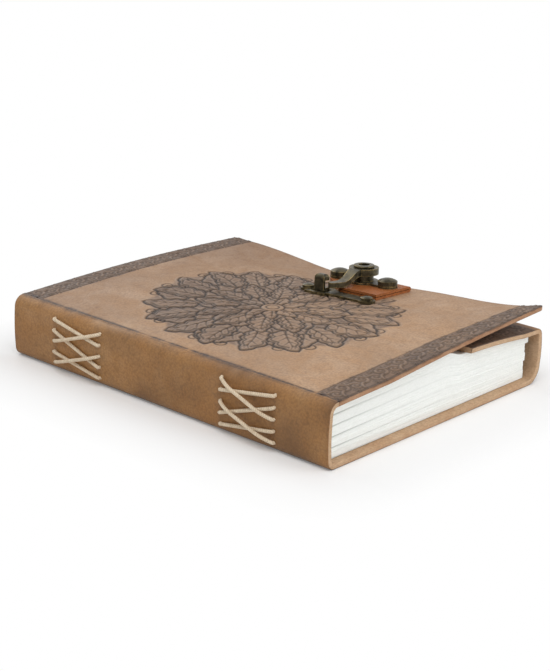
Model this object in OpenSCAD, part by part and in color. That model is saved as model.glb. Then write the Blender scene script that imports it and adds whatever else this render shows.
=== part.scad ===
// Handmade leather journal, lying on its back cover with its spine towards -X.
// One thick hide wraps the pages: front cover, spine, back cover, fore-edge wall and a flap
// that folds in under the front cover. Five folded sections are laced to the spine with cord,
// and a brass swing clasp holds the front cover down on the flap.
// Book coordinates: x from the spine to the fore edge, y from the tail to the head, z up.

/* [Book] */
// Length of the covers from tail to head
book_l = 180; // [150:1:220]
// Reach of the front cover from the spine to its fore edge
cover_d = 138; // [125:1:160]
// Height of the leather's upper side at the cover's hinge crease
hinge_z = 27.2; // [24:0.1:36]
// Distance of the hinge crease from the spine plane
hinge_x = 4.3; // [3.5:0.1:6]
// Thickness of the leather
leather_t = 2.4; // [1.8:0.1:3]
// Space left between a soft piece and its neighbour
fit_gap = 0.3; // [0.2:0.05:0.5]

/* [Front cover] */
// Rise of the cover's middle above its hinge crease
crown = 1.6; // [0:0.1:3]
// Sag of the fore edge where the clasp pulls it down
clasp_dip = 3; // [0:0.1:4]
// Height of the lifted tail corner above the rest of the fore edge
corner_lift = 7.6; // [0:0.1:12]
// Distance over which the lifted corner fades towards the head
lift_fade = 22; // [15:1:35]
// Distance from the spine at which the cover starts to lift or sag
bend_start = 35; // [20:1:50]
// Inward bow of the fore edge at the clasp
edge_bow = 2; // [0:0.1:3]
// Radius of the two fore corners
corner_r = 2.5; // [1:0.1:5]

/* [Tooling] */
// Distance of the medallion's middle from the spine
medallion_x = 66.5; // [60:0.5:75]
// Reach of the medallion's outer leaves
medallion_r = 48; // [35:0.5:52]
// Number of outer leaves
outer_leaves = 18; // [12:6:24]
// Width of the border bands at head and tail
band_w = 12.45; // [8:0.05:16]
// Length of one repeat of the border's running scroll
band_repeat = 11.5; // [8:0.5:16]
// Height of the tooled relief
relief = 0.35; // [0.2:0.05:0.6]

/* [Wrap] */
// Radius of the hide where it turns from the crease down the spine
spine_top_r = 5; // [4:0.1:6]
// Radius of the hide where the spine meets the back cover
spine_foot_r = 4; // [3.5:0.1:6]
// Outward bulge of the spine
spine_bulge = 0.4; // [0:0.1:2]
// Distance that the fore-edge wall stands past the front cover
wall_out = 0.2; // [0:0.1:3]
// Outward bulge of the fore-edge wall
wall_bulge = 0.5; // [0:0.1:2]
// Radius between the back cover and the fore-edge wall
wall_foot_r = 8; // [5:0.1:9]
// Radius between the fore-edge wall and the flap
wall_top_r = 3.4; // [3:0.1:5]
// Width of the flap that lies under the front cover
flap_w = 51; // [40:1:60]
// Share of the corner's lift that the flap's free edge follows
flap_follow = 0.45; // [0:0.05:0.6]

/* [Pages] */
// Number of folded sections
section_count = 5; // [3:1:7]
// Distance of the pages from the cover's head and tail edges
page_inset = 3.5; // [2:0.1:8]
// Distance of the shortest section from the fore-edge wall
fore_room = 5.4; // [3.5:0.1:8]
// Reach of the longest section past the shortest one
deckle = 2.6; // [0:0.1:3]

/* [Lacing] */
// Diameter of the cord
cord_d = 1.6; // [1.2:0.1:2]
// Distance of the outer column of holes from the cover's end
hole_outer = 27; // [20:1:32]
// Distance of the inner column of holes from the cover's end
hole_inner = 55; // [48:1:64]
// Depth of the cord's inner run behind the spine plane
fold_depth = 6; // [5:0.1:8]

/* [Clasp] */
// Distance of the catch post from the front cover's fore edge
post_x = 36.5; // [32:0.5:40]
// Distance of the clasp's middle from the tail edge
clasp_y = 84; // [76:0.5:100]
// Distance from the post to the hook's pivot, towards the fore edge
pivot_dx = 20.5; // [20:0.1:22]
// Distance of the pivot from the clasp's middle, towards the head
pivot_dy = 1.5; // [0:0.1:3]
// Distance of the catch post from the clasp's middle, towards the head
post_dy = 8.5; // [8:0.1:9]
// Size of the catch post along the cover's depth
post_w = 4.4; // [4:0.1:5]
// Size of the catch post along the cover's length
post_l = 6; // [5.5:0.1:7]
// Height of the catch post above the cover
post_h = 8.4; // [7.5:0.1:10]
// Room round the post in the cover and in the hasp plate
slot_room = 1.1; // [1:0.05:1.3]
// Thickness of the brass plates
plate_t = 1; // [0.8:0.1:1.5]
// Width of the hook plate
hook_plate_w = 9; // [8:0.1:11]
// Distance of each tab rivet from the pivot
tab_rivet_dy = 13.7; // [13:0.1:15]
// Diameter of the tab rivets' heads
tab_rivet_d = 8.8; // [7:0.1:9.5]
// Height of the tab rivets' heads
tab_rivet_h = 3.3; // [2:0.1:3.5]
// Diameter of the hasp plate's rivet heads
hasp_rivet_d = 5.4; // [4:0.1:6]
// Height of the hasp plate's rivet heads
hasp_rivet_h = 1.7; // [1:0.1:1.7]
// Thickness of each layer of the clasp tab
tab_layer = 1.1; // [1:0.1:1.5]
// Slit between the two layers of the clasp tab
tab_slit = 0.3; // [0.2:0.05:0.4]
// Distance of the hook's tip, once caught, short of the post's middle
hook_short = 0.15; // [0:0.05:0.4]
// Outer diameter of the hook's eye
eye_d = 13.4; // [12:0.1:14]
// Diameter of the journal that the hook turns on
journal_d = 7; // [6:0.1:7.5]
// Radial clearance of the hook on its journal
journal_fit = 0.05; // [0.03:0.01:0.1]
// Bore of the pivot eyelet
eyelet_bore = 5.2; // [4:0.1:5.4]

/* [Hidden] */
$fn = 48;

// Hinge: the leather is parted along the crease, and the axis runs just above its upper side.
crease_gap = 0.4;
hinge_end_x = hinge_x - crease_gap / 2;
cover_start_x = hinge_x + crease_gap / 2;
axis_rise = 0.2;

// Spine and fore-edge wall, outer faces.
spine_x = hinge_end_x - spine_top_r;
spine_corner_z = hinge_z - spine_top_r;
wall_x = cover_d + wall_out;
flap_x = wall_x - flap_w;

// The dip is centred a little past the middle, towards the head.
dip_y = book_l * 0.58;
dip_half = book_l * 0.36;
bend_power = 1.1;

function clamp(v) = max(0, min(1, v));
function smooth(v) = let (c = clamp(v)) c * c * (3 - 2 * c);
function bell(y) = pow(cos(90 * max(-1, min(1, (y - dip_y) / dip_half))), 2);
function bend(x) = pow(max(0, (x - bend_start) / (cover_d - bend_start)), bend_power);
function crown_z(x) = crown * sin(180 * clamp((x - hinge_x) / (cover_d - hinge_x)));

// Upper side of the leather with the corner pressed down, and how far the corner lifts off it.
function closed_z(x, y) = hinge_z + crown_z(x) - clasp_dip * bell(y) * bend(x);
function lift_z(x, y) = corner_lift * exp(-y / lift_fade) * bend(x);
function cover_top(x, y) = closed_z(x, y) + lift_z(x, y);

// The flap lies under the cover, and its free edge curls up a little at the tail.
curl_w = 38;
function flap_top(x, y) = closed_z(x, y) - leather_t - fit_gap
    + flap_follow * lift_z(x, y) * clamp((flap_x + curl_w - x) / curl_w);

// The pages fill the space below: under the cover first, then, past a soft step, under the flap.
page_step_w = 10;
page_step_end = 1.5;
page_follow = 0.4;
page_base_z = leather_t + fit_gap;
function under_cover(x, y) = closed_z(x, y) - leather_t - fit_gap + page_follow * lift_z(x, y);
function under_flap(x, y) = flap_top(x, y) - leather_t - fit_gap;
function page_top(x, y) =
    let (s = smooth((x - (flap_x - page_step_end - page_step_w)) / page_step_w))
    under_cover(x, y) * (1 - s) + under_flap(x, y) * s;

// Lofts: rings of equal length, each in a plane of constant y, joined side by side. Each end is
// closed by a strip of triangles from one side of the ring to the other.
function cap_faces(n, first) = [for (i = [0:floor((n - 1) / 2) - 1]) each [
    if (i + 1 != n - 2 - i) [first + i, first + i + 1, first + n - 2 - i],
    [first + i, first + n - 2 - i, first + n - 1 - i]]];
function loft_faces(n, m) = concat(
    [for (j = [0:m - 2], i = [0:n - 1]) each [
        [j * n + i, j * n + (i + 1) % n, (j + 1) * n + (i + 1) % n],
        [j * n + i, (j + 1) * n + (i + 1) % n, (j + 1) * n + i]]],
    [for (f = cap_faces(n, 0)) reversed(f)],
    cap_faces(n, (m - 1) * n));
function at_y(ring, y) = [for (p = ring) [p[0], y, p[1]]];
module loft(rings) {
    polyhedron(points = [for (r = rings) each r],
               faces = loft_faces(len(rings[0]), len(rings)), convexity = 10);
}

function arc(cx, cz, r, from, to, steps) =
    [for (i = [0:steps]) let (a = from + (to - from) * i / steps) [cx + r * cos(a), cz + r * sin(a)]];
function reversed(list) = [for (i = [len(list) - 1:-1:0]) list[i]];

// Inner side of a path: each point moves to its left by the leather's thickness.
function inside(path, t) = [for (i = [0:len(path) - 1])
    let (a = path[max(0, i - 1)], b = path[min(len(path) - 1, i + 1)], d = (b - a) / norm(b - a))
    path[i] + t * [-d[1], d[0]]];

// Outer line of the wrap at one place along the book, from the crease round to the flap's edge.
function bulged_x(z, lo, hi) = 1 - pow((2 * z - lo - hi) / (hi - lo), 2);
function spine_face_x(z) =
    z > spine_corner_z
        ? hinge_end_x - sqrt(max(0, spine_top_r * spine_top_r - pow(z - spine_corner_z, 2)))
    : z < spine_foot_r
        ? spine_x + spine_foot_r - sqrt(max(0, spine_foot_r * spine_foot_r - pow(z - spine_foot_r, 2)))
    : spine_x - spine_bulge * bulged_x(z, spine_foot_r, spine_corner_z);
spine_steps = 6;
wall_steps = 4;
flap_steps = 12;
function flap_line_x(i) = let (top_x = wall_x - wall_top_r)
    top_x + (flap_x - top_x) * i / flap_steps;
function wrap_path(y) =
    let (top_x = wall_x - wall_top_r, top_z = flap_top(top_x, y), corner_z = top_z - wall_top_r)
    concat(
        arc(hinge_end_x, spine_corner_z, spine_top_r, 90, 180, 5),
        [for (i = [1:spine_steps - 1])
            let (z = spine_corner_z + (spine_foot_r - spine_corner_z) * i / spine_steps)
            [spine_face_x(z), z]],
        arc(spine_x + spine_foot_r, spine_foot_r, spine_foot_r, 180, 270, 4),
        arc(wall_x - wall_foot_r, wall_foot_r, wall_foot_r, 270, 360, 5),
        [for (i = [1:wall_steps - 1])
            let (z = wall_foot_r + (corner_z - wall_foot_r) * i / wall_steps)
            [wall_x + wall_bulge * bulged_x(z, wall_foot_r, corner_z), z]],
        arc(top_x, corner_z, wall_top_r, 0, 90, 4),
        [for (i = [1:flap_steps]) let (x = flap_line_x(i)) [x, flap_top(x, y)]]);
function wrap_ring(y) = let (p = wrap_path(y)) concat(p, reversed(inside(p, leather_t)));

// Places along the book where the lofts have a ring: close together where the corner lifts.
wrap_stations = [0, 5, 12, 21, 33, 48, 66, 86, 105, 124, 143, 162, 180] * book_l / 180;

// Lacing: one column of holes near the cover's end and one further in, a hole to each section.
row_spread = 1.1;
function section_z(k) = page_base_z
    + (under_cover(hinge_x, 0) - page_base_z) * (k + 0.5) / section_count;
spine_mid_z = (section_z(0) + section_z(section_count - 1)) / 2;
function hole_z(k) = spine_mid_z + (section_z(k) - spine_mid_z) * row_spread;
cord_hole_d = cord_d + 0.6;
hole_sides = 8;

// A straight hole from outside the spine to the fold of its section.
module stitch_hole(y, k, d, past) {
    out_x = spine_face_x(hole_z(k)) - cord_d;
    run = fold_depth - spine_face_x(hole_z(k));
    slope = atan((hole_z(k) - section_z(k)) / run);
    translate([fold_depth, y, section_z(k)])
        rotate([0, slope, 0])
            translate([past, 0, 0])
                rotate([0, -90, 0])
                    cylinder(d = d, h = (fold_depth - out_x) / cos(slope) + past, $fn = hole_sides);
}
function group_columns(at_head) = at_head
    ? [book_l - hole_outer, book_l - hole_inner]
    : [hole_outer, hole_inner];

// Which inner hole the outside stitch from each outer hole goes to, and whether it lies on top.
// Counted from the lowest section; drawn for five, and wrapped round for other counts.
stitch_to = [2, 0, 4, 1, 3];
stitch_over = [true, false, true, false, false];
function inner_of(k) = section_count == 5 ? stitch_to[k] : (k + 2) % section_count;
function is_over(k) = section_count == 5 ? stitch_over[k] : k % 2 == 0;

// Route of one stitch: out of the outer hole, over the spine, in at the inner hole, and back
// inside the fold of that section to the outer hole of the same section.
cord_seat = cord_d / 2 + 0.12;
turn = 0.5;
over_rise = cord_d + 0.1;
function on_spine(ya, yb, za, zb, s, rise) =
    let (z = za + (zb - za) * s) [spine_face_x(z) - cord_seat - rise, ya + (yb - ya) * s, z];
function stitch_route(k, cols) =
    let (ya = cols[0], yb = cols[1], j = inner_of(k), za = hole_z(k), zb = hole_z(j),
         dir = sign(yb - ya), span = abs(yb - ya),
         middle = is_over(k) ? [[0.12, 0.6], [0.25, 1], [0.48, 1], [0.75, 1], [0.88, 0.6]] : [[0.5, 0]])
    concat(
        [[fold_depth - turn, ya, section_z(k) + (za - section_z(k)) * 0.1],
         [spine_face_x(za) - turn, ya, za]],
        [on_spine(ya, yb, za, zb, turn / span, 0)],
        [for (m = middle) on_spine(ya, yb, za, zb, m[0], m[1] * over_rise)],
        [on_spine(ya, yb, za, zb, 1 - turn / span, 0)],
        [[spine_face_x(zb) - turn, yb, zb],
         [fold_depth - turn, yb, section_z(j) + (zb - section_z(j)) * 0.1],
         [fold_depth, yb - dir * turn, section_z(j)],
         [fold_depth, ya + dir * turn, section_z(j)]]);
function loop_from(k, left) = left == 0 ? [] : concat([k], loop_from(inner_of(k), left - 1));
function lacing_route(cols) = [for (k = loop_from(0, section_count)) each stitch_route(k, cols)];

// A closed tube along a route; no stretch of it runs straight up, so z serves as the reference.
cord_sides = 8;
module closed_tube(route, d) {
    n = len(route);
    points = [for (i = [0:n - 1])
        let (a = route[(i + n - 1) % n], p = route[i], b = route[(i + 1) % n],
             t = (p - a) / norm(p - a) + (b - p) / norm(b - p), f = t / norm(t),
             s = cross(f, [0, 0, 1]), side = s / norm(s), up = cross(side, f))
        for (q = [0:cord_sides - 1])
            p + d / 2 * (cos(360 * q / cord_sides) * side + sin(360 * q / cord_sides) * up)];
    faces = [for (i = [0:n - 1], q = [0:cord_sides - 1])
        let (r = (i + 1) % n, w = (q + 1) % cord_sides, c = cord_sides)
        each [[i * c + q, r * c + w, i * c + w], [i * c + q, r * c + q, r * c + w]]];
    polyhedron(points = points, faces = faces, convexity = 10);
}

// The model's origin is the middle of its footprint.
cord_reach_x = min([for (p = lacing_route(group_columns(false))) p[0]]) - cord_d / 2;
mid_x = (cord_reach_x + wall_x + wall_bulge) / 2;
module place() {
    translate([-mid_x, -book_l / 2, 0]) children();
}

// Clasp: its pieces stand on a plane that follows the cover round the clasp.
post_back = 10.5;
clasp_x = cover_d - post_x + post_back;
clasp_seat = 0.15;
slope_reach = 10;
clasp_z = cover_top(clasp_x, clasp_y) + clasp_seat;
slope_x = (cover_top(clasp_x + slope_reach, clasp_y) - cover_top(clasp_x - slope_reach, clasp_y))
    / (2 * slope_reach);
slope_y = (cover_top(clasp_x, clasp_y + slope_reach) - cover_top(clasp_x, clasp_y - slope_reach))
    / (2 * slope_reach);
module on_cover() {
    place() translate([clasp_x, clasp_y, clasp_z])
        rotate([atan(slope_y), -atan(slope_x), 0]) children();
}
pivot = [pivot_dx - post_back, pivot_dy];
post = [-post_back, post_dy];
tab_t = 2 * tab_layer + tab_slit;
tab_back = 5.1;
tab_front = 19.6;
tab_low = -18;
tab_high = 17.2;
hook_plate_top = tab_t + plate_t;
cover_under = -clasp_seat - leather_t;
flap_over = cover_under - fit_gap;
flap_under = flap_over - leather_t;
hasp_low = 17;
hasp_high = 7.8;
hasp_rivets = [[post[0], -hasp_low], [post[0], post_dy + hasp_high]];
tab_rivets = [[pivot[0], pivot[1] - tab_rivet_dy], [pivot[0], pivot[1] + tab_rivet_dy]];
shank_d = 2.6;
shank_fit = 0.05;
tail_d = 5.5;
tail_t = 0.6;
tail_seat = 0.5;
// Room round a rivet's tail and the eyelet's foot where they are sunk in leather.
sunk_room = 0.15;
hasp_ear_r = 3.9;
hasp_head_ear_r = 3.4;
hasp_eye_w = post_w + 2 * slot_room + 4;
hasp_eye_l = post_l + 2 * slot_room + 3;
post_shank_d = 4;
post_shank_fit = 0.05;
washer_d = 8;
washer_t = 0.6;
washer_seat = 0.2;
washer_room = 0.2;
// Length of a cut that goes right through a piece of the clasp.
through = 30;

// Hook: turned about its pivot so that it rests beside the post, a few degrees short of the catch.
hook_l = norm([pivot_dx, post_dy - pivot_dy]) - hook_short;
rest_angle = 5;
eye_t = 3;
eye_z = 6.5;
tip_t = 2.4;
tip_z = tab_t + 0.3;
tip_w = 3.6;
hook_bow = 1.4;
collar_d = 9;
rim_d = 9.6;
rim_t = 1;
flange_t = 0.8;
foot_room = 0.05;

module rivet(at, seat, head_d, head_h) {
    dome_h = head_h * 0.4;
    dome_r = (head_d * head_d / 4 + dome_h * dome_h) / (2 * dome_h);
    translate([at[0], at[1], 0]) {
        translate([0, 0, seat]) cylinder(d = head_d, h = head_h - dome_h);
        translate([0, 0, seat]) intersection() {
            translate([0, 0, head_h - dome_r]) sphere(r = dome_r, $fn = 96);
            cylinder(d = head_d, h = head_h);
        }
        translate([0, 0, cover_under + tail_seat]) cylinder(d = shank_d, h = seat - cover_under);
        translate([0, 0, cover_under + tail_seat]) cylinder(d = tail_d, h = tail_t);
    }
}
module shank_holes(points) {
    for (p = points) translate([p[0], p[1], -through / 2])
        cylinder(d = shank_d + 2 * shank_fit, h = through);
}
module tail_recesses(points) {
    for (p = points) translate([p[0], p[1], cover_under - 1])
        cylinder(d = tail_d + 2 * sunk_room, h = 1 + tail_seat + tail_t + 0.1);
}
// Slot that the catch post stands up through, in the cover and in the hasp plate.
module post_slot() {
    translate([post[0] - post_w / 2 - slot_room, post[1] - post_l / 2 - slot_room * 0.7, -through / 2])
        cube([post_w + 2 * slot_room, post_l + 1.4 * slot_room, through]);
}
// The leather is pressed flat under the tab and the hasp plate.
module pressed_seat() {
    room = 0.3;
    half_w = max(hasp_ear_r, hasp_eye_w / 2) + room;
    low_y = hasp_rivets[0][1] - hasp_ear_r - room;
    high_y = hasp_rivets[1][1] + hasp_ear_r + room;
    translate([-tab_back - room, tab_low - room, 0])
        cube([tab_back + tab_front + 2 * room, tab_high - tab_low + 2 * room, through]);
    translate([post[0] - half_w, low_y, 0]) cube([2 * half_w, high_y - low_y, through]);
}

// Leather
module cover_wrap() {
    color([0.62, 0.46, 0.29]) difference() {
        place() loft([for (y = wrap_stations) at_y(wrap_ring(y), y)]);
        place() for (at_head = [false, true], y = group_columns(at_head), k = [0:section_count - 1])
            stitch_hole(y, k, cord_hole_d, 0);
        on_cover() translate([post[0], post[1], flap_under - 1]) {
            cylinder(d = post_shank_d + 2 * post_shank_fit, h = leather_t + 2);
            cylinder(d = washer_d + 2 * washer_room, h = 1 + washer_seat + washer_t + 0.1);
        }
    }
}

// Front cover: a sheet from the crease to the fore edge, with rounded fore corners.
cover_steps = 22;
edge_round = 0.4;
function corner_cut(y) = let (d = min(y, book_l - y))
    d >= corner_r ? 0 : corner_r - sqrt(corner_r * corner_r - pow(corner_r - d, 2));
function fore_edge_x(y) = cover_d - edge_bow * bell(y) - corner_cut(y) - edge_round;
function cover_ring(y) =
    let (x1 = fore_edge_x(y),
         top = [for (i = [0:cover_steps])
             let (x = cover_start_x + (x1 - cover_start_x) * i / cover_steps) [x, cover_top(x, y)]])
    concat([for (p = top) p - [0, leather_t]],
           [[x1 + edge_round, cover_top(x1, y) - leather_t / 2]],
           reversed(top));

// Medallion: a boss and three rings of leaves, each ring coming out from under the one inside it.
// Rings of points run round it, and follow the scalloped tips of each ring of leaves.
patch_rise = 0.15;
patch_root = 1.2;
leaf_step = 0.5;
boss_r = 4.5;
leaf_counts = [outer_leaves / 2, outer_leaves * 2 / 3, outer_leaves];
leaf_ends = [0.29, 0.62, 1];
leaf_rings = [3, 4, 4];
around = outer_leaves * 6;
function leaf_u(a, ring) = let (q = a * leaf_counts[ring] / 360 + ring / 2) 2 * abs(q - floor(q) - 0.5);
function leaf_tip(a, ring) = medallion_r * leaf_ends[ring] * (1 - 0.1 * pow(leaf_u(a, ring), 1.5));
function leaf_height(u, s) = relief * (1 - pow(u, 3)) * (1 - 0.5 * exp(-pow(u * 4, 2))) * (0.35 + 0.65 * s);
function leaf_points(ring) = [for (j = [0:leaf_rings[ring]]) let (s = j / leaf_rings[ring]) [
    for (k = [0:around - 1]) let (a = 360 * k / around,
            from = (ring == 0 ? boss_r : leaf_tip(a, ring - 1)) + leaf_step,
            r = from + (leaf_tip(a, ring) - from) * s)
        [r * cos(a), r * sin(a), leaf_height(leaf_u(a, ring), s)]]];
function boss_points() = [for (t = [0.35, 0.75, 1]) [
    for (k = [0:around - 1]) let (a = 360 * k / around)
        [boss_r * t * cos(a), boss_r * t * sin(a), relief * (1.3 - 0.5 * t * t)]]];
module medallion() {
    rings = concat(boss_points(), [for (ring = [0:2]) each leaf_points(ring)]);
    n = around;
    m = len(rings);
    mid_y = book_l / 2;
    top = [for (ring = rings, p = ring) let (x = medallion_x + p[0], y = mid_y + p[1])
        [x, y, cover_top(x, y) + patch_rise + p[2]]];
    root = [for (p = rings[m - 1]) let (x = medallion_x + p[0], y = mid_y + p[1])
        [x, y, cover_top(x, y) - patch_root]];
    mid = [medallion_x, mid_y, cover_top(medallion_x, mid_y)];
    ends = [mid + [0, 0, patch_rise + relief * 1.3], mid - [0, 0, patch_root]];
    c = n * m;
    polyhedron(points = concat(top, root, ends),
        faces = concat(
            [for (j = [0:m - 1], i = [0:n - 1]) let (k = (i + 1) % n, a = j * n, b = a + n) each [
                [a + i, a + k, b + k], [a + i, b + k, b + i]]],
            [for (i = [0:n - 1]) let (k = (i + 1) % n) each [
                [c + n, k, i], [c + n + 1, c + i, c + k]]]), convexity = 10);
}

// Border band: beads along both edges and a running scroll between them, on a patch like the
// medallion's. Its rows of points run along the band.
band_rows = [0, 0.06, 0.13, 0.27, 0.42, 0.58, 0.73, 0.87, 0.94, 1];
band_inset = 0.35;
bead_x = 0.06;
function scroll_line(x) = 0.5 + 0.2 * sin(360 * x / band_repeat);
function scroll_height(x, v) = max(exp(-pow((v - scroll_line(x)) / 0.12, 2)),
    0.8 * exp(-pow((v - 1 + scroll_line(x)) / 0.09, 2)) * pow(sin(360 * x / band_repeat), 2));
function band_height(x, v) = relief * (min(v, 1 - v) < bead_x - 0.01 ? 0.4
    : min(v, 1 - v) < bead_x + 0.01 ? 1 : scroll_height(x, v));
module border_band(at_head) {
    steps = 6 * round((cover_d - cover_start_x) / band_repeat);
    n = steps + 1;
    m = len(band_rows);
    c = n * m;
    rows = [for (v = band_rows) let (d = band_inset + v * (band_w - band_inset), y = at_head ? book_l - d : d)
        [for (i = [0:steps]) let (from = cover_start_x + band_inset,
                x = from + (fore_edge_x(y) - band_inset - from) * i / steps,
                h = i == 0 || i == steps ? relief * 0.4 : band_height(x - cover_start_x, v))
            [x, y, cover_top(x, y) + patch_rise + h]]];
    root = [for (row = [rows[0], rows[m - 1]], p = row) [p[0], p[1], cover_top(p[0], p[1]) - patch_root]];
    faces = concat(
        [for (j = [0:m - 2], i = [0:steps - 1]) let (a = j * n, b = a + n) each [
            [a + i, a + i + 1, b + i + 1], [a + i, b + i + 1, b + i]]],
        [for (i = [0:steps - 1]) each [
            [c + i, c + i + 1, i + 1], [c + i, i + 1, i],
            [c - n + i, c - n + i + 1, c + n + i + 1], [c - n + i, c + n + i + 1, c + n + i],
            [c + n + i, c + n + i + 1, c + i + 1], [c + n + i, c + i + 1, c + i]]],
        [for (j = [0:m - 2]) each [
            [c, j * n, (j + 1) * n],
            [c + steps, (j + 1) * n + steps, j * n + steps]]],
        [[c, c - n, c + n], [c + steps, c + n + steps, c - n + steps]]);
    polyhedron(points = concat([for (row = rows) each row], root),
        faces = at_head ? faces : [for (f = faces) reversed(f)], convexity = 10);
}

cover_stations = concat([0, 0.15, 0.5, 1] * corner_r,
    [6, 12, 19, 27, 37, 49, 63, 78, 93, 108, 124, 142, 160] * book_l / 180,
    [for (s = [1, 0.5, 0.15, 0]) book_l - s * corner_r]);
module front_cover() {
    color([0.7, 0.57, 0.44]) difference() {
        place() union() {
            loft([for (y = cover_stations) at_y(cover_ring(y), y)]);
            medallion();
            for (at_head = [false, true]) border_band(at_head);
        }
        on_cover() {
            post_slot();
            shank_holes(concat(hasp_rivets, tab_rivets));
            tail_recesses(concat(hasp_rivets, tab_rivets));
            pressed_seat();
        }
    }
}

// Pages: folded sections, each with its own reach at the fore edge, parted by a valley at the spine.
back_x = spine_x + leather_t + fit_gap;
back_round = 2;
groove = 0.3;
valley_w = 1.6;
valley_depth = 2.2;
section_reach = [0.1, 0, 0.35, 0.15, 1];
// Top line of the pages from the fore edge back: in step with the flap, then down to the spine.
top_steps = 4;
page_top_xs = concat(
    [for (i = [1:flap_steps]) flap_line_x(i)],
    [for (i = [0:top_steps]) flap_x - page_step_end - page_step_w * i / top_steps],
    [for (i = [1:top_steps]) let (from = flap_x - page_step_end - page_step_w)
        from + (back_x + back_round - from) * i / (top_steps + 1)]);
function fore_page_x(k) = wall_x - leather_t - fore_room
    + deckle * section_reach[k % len(section_reach)];
function section_edge(x, y, k) = page_base_z + (page_top(x, y) - page_base_z) * k / section_count;
// The foot line takes the last of the top line's places, so that the ring's two sides match.
fore_points = 3 * section_count + 1;
function page_ring(y) =
    let (last = section_count - 1, x_back = back_x + back_round,
         z_back = page_top(x_back, y) - back_round)
    concat(
        arc(x_back, page_base_z + back_round, back_round, 180, 270, 3),
        [for (i = [len(page_top_xs) - 1:-1:fore_points]) [page_top_xs[i], page_base_z]],
        [for (k = [0:last]) let (x = fore_page_x(k)) each [
            [x, section_edge(x, y, k) + (k > 0 ? groove : 0)],
            [x, section_edge(x, y, k + 1) - (k < last ? groove : 0)],
            if (k < last) let (in_x = min(x, fore_page_x(k + 1)) - groove)
                [in_x, section_edge(in_x, y, k + 1)]]],
        [for (x = page_top_xs) [x, page_top(x, y)]],
        arc(x_back, z_back, back_round, 90, 180, 3));
page_stations = concat(page_inset,
    [for (y = wrap_stations) if (y > page_inset + 2 && y < book_l - page_inset - 2) y],
    book_l - page_inset);
module page_block() {
    color([0.92, 0.93, 0.9]) difference() {
        place() loft([for (y = page_stations) at_y(page_ring(y), y)]);
        place() for (k = [1:section_count - 1])
            translate([back_x, book_l, section_edge(back_x, 0, k)])
                rotate([90, 0, 0])
                    linear_extrude(book_l)
                        polygon([[-1, -valley_w], [valley_depth, 0], [-1, valley_w]]);
        place() for (at_head = [false, true], k = [0:section_count - 1]) {
            cols = group_columns(at_head);
            for (y = cols) stitch_hole(y, k, cord_hole_d, cord_hole_d / 2);
            translate([fold_depth, min(cols), section_z(k)])
                rotate([-90, 0, 0])
                    cylinder(d = cord_hole_d, h = abs(cols[1] - cols[0]), $fn = hole_sides);
        }
    }
}

module head_lacing() {
    color([0.88, 0.8, 0.68]) place() closed_tube(lacing_route(group_columns(true)), cord_d);
}
module tail_lacing() {
    color([0.88, 0.8, 0.68]) place() closed_tube(lacing_route(group_columns(false)), cord_d);
}

// Catch post: fixed to the flap, standing up through the cover, with a pocket for the hook's tip.
brass = [0.42, 0.38, 0.24];
pocket_wall = 1.2;
pocket_l = 4;
post_taper = 0.3;
post_round = 1.6;
post_stand = 0.35;
module post_profile(w) {
    top = post_h;
    foot = flap_over + post_stand;
    polygon(concat([[-w / 2, foot], [w / 2, foot]],
        arc(w / 2 - post_taper - post_round, top - post_round, post_round, 0, 90, 6),
        arc(-w / 2 + post_taper + post_round, top - post_round, post_round, 90, 180, 6)));
}
module catch_post() {
    color(brass) on_cover() translate([post[0], post[1], 0]) {
        difference() {
            intersection() {
                rotate([90, 0, 0]) linear_extrude(post_l, center = true) post_profile(post_w);
                rotate([90, 0, 90]) linear_extrude(post_w, center = true) post_profile(post_l);
            }
            translate([-post_w / 2 + pocket_wall, -post_l / 2 - 1, tip_z - 0.4])
                cube([post_w, pocket_l + 1, tip_t + 0.8]);
        }
        translate([0, 0, flap_under + washer_seat])
            cylinder(d = post_shank_d, h = leather_t - washer_seat + post_stand + 0.05);
    }
}
module post_washer() {
    color(brass) on_cover() translate([post[0], post[1], flap_under + washer_seat]) difference() {
        cylinder(d = washer_d, h = washer_t);
        translate([0, 0, -through / 2]) cylinder(d = post_shank_d + 2 * post_shank_fit, h = through);
    }
}

// Hasp plate: lies on the cover round the post's slot, with an ear at each end.
module hasp_plate() {
    neck_w = 6.4;
    color(brass) on_cover() difference() {
        union() {
            translate([hasp_rivets[0][0], hasp_rivets[0][1], 0]) cylinder(r = hasp_ear_r, h = plate_t);
            translate([hasp_rivets[1][0], hasp_rivets[1][1], 0]) cylinder(r = hasp_head_ear_r, h = plate_t);
            translate([post[0] - neck_w / 2, hasp_rivets[0][1], 0])
                cube([neck_w, hasp_rivets[1][1] - hasp_rivets[0][1], plate_t]);
            translate([post[0] - hasp_eye_w / 2, post[1] - hasp_eye_l / 2, 0])
                cube([hasp_eye_w, hasp_eye_l, plate_t]);
        }
        post_slot();
        shank_holes(hasp_rivets);
    }
}
module hasp_rivet_tail() {
    color(brass) on_cover() rivet(hasp_rivets[0], plate_t, hasp_rivet_d, hasp_rivet_h);
}
module hasp_rivet_head() {
    color(brass) on_cover() rivet(hasp_rivets[1], plate_t, hasp_rivet_d, hasp_rivet_h);
}

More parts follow.
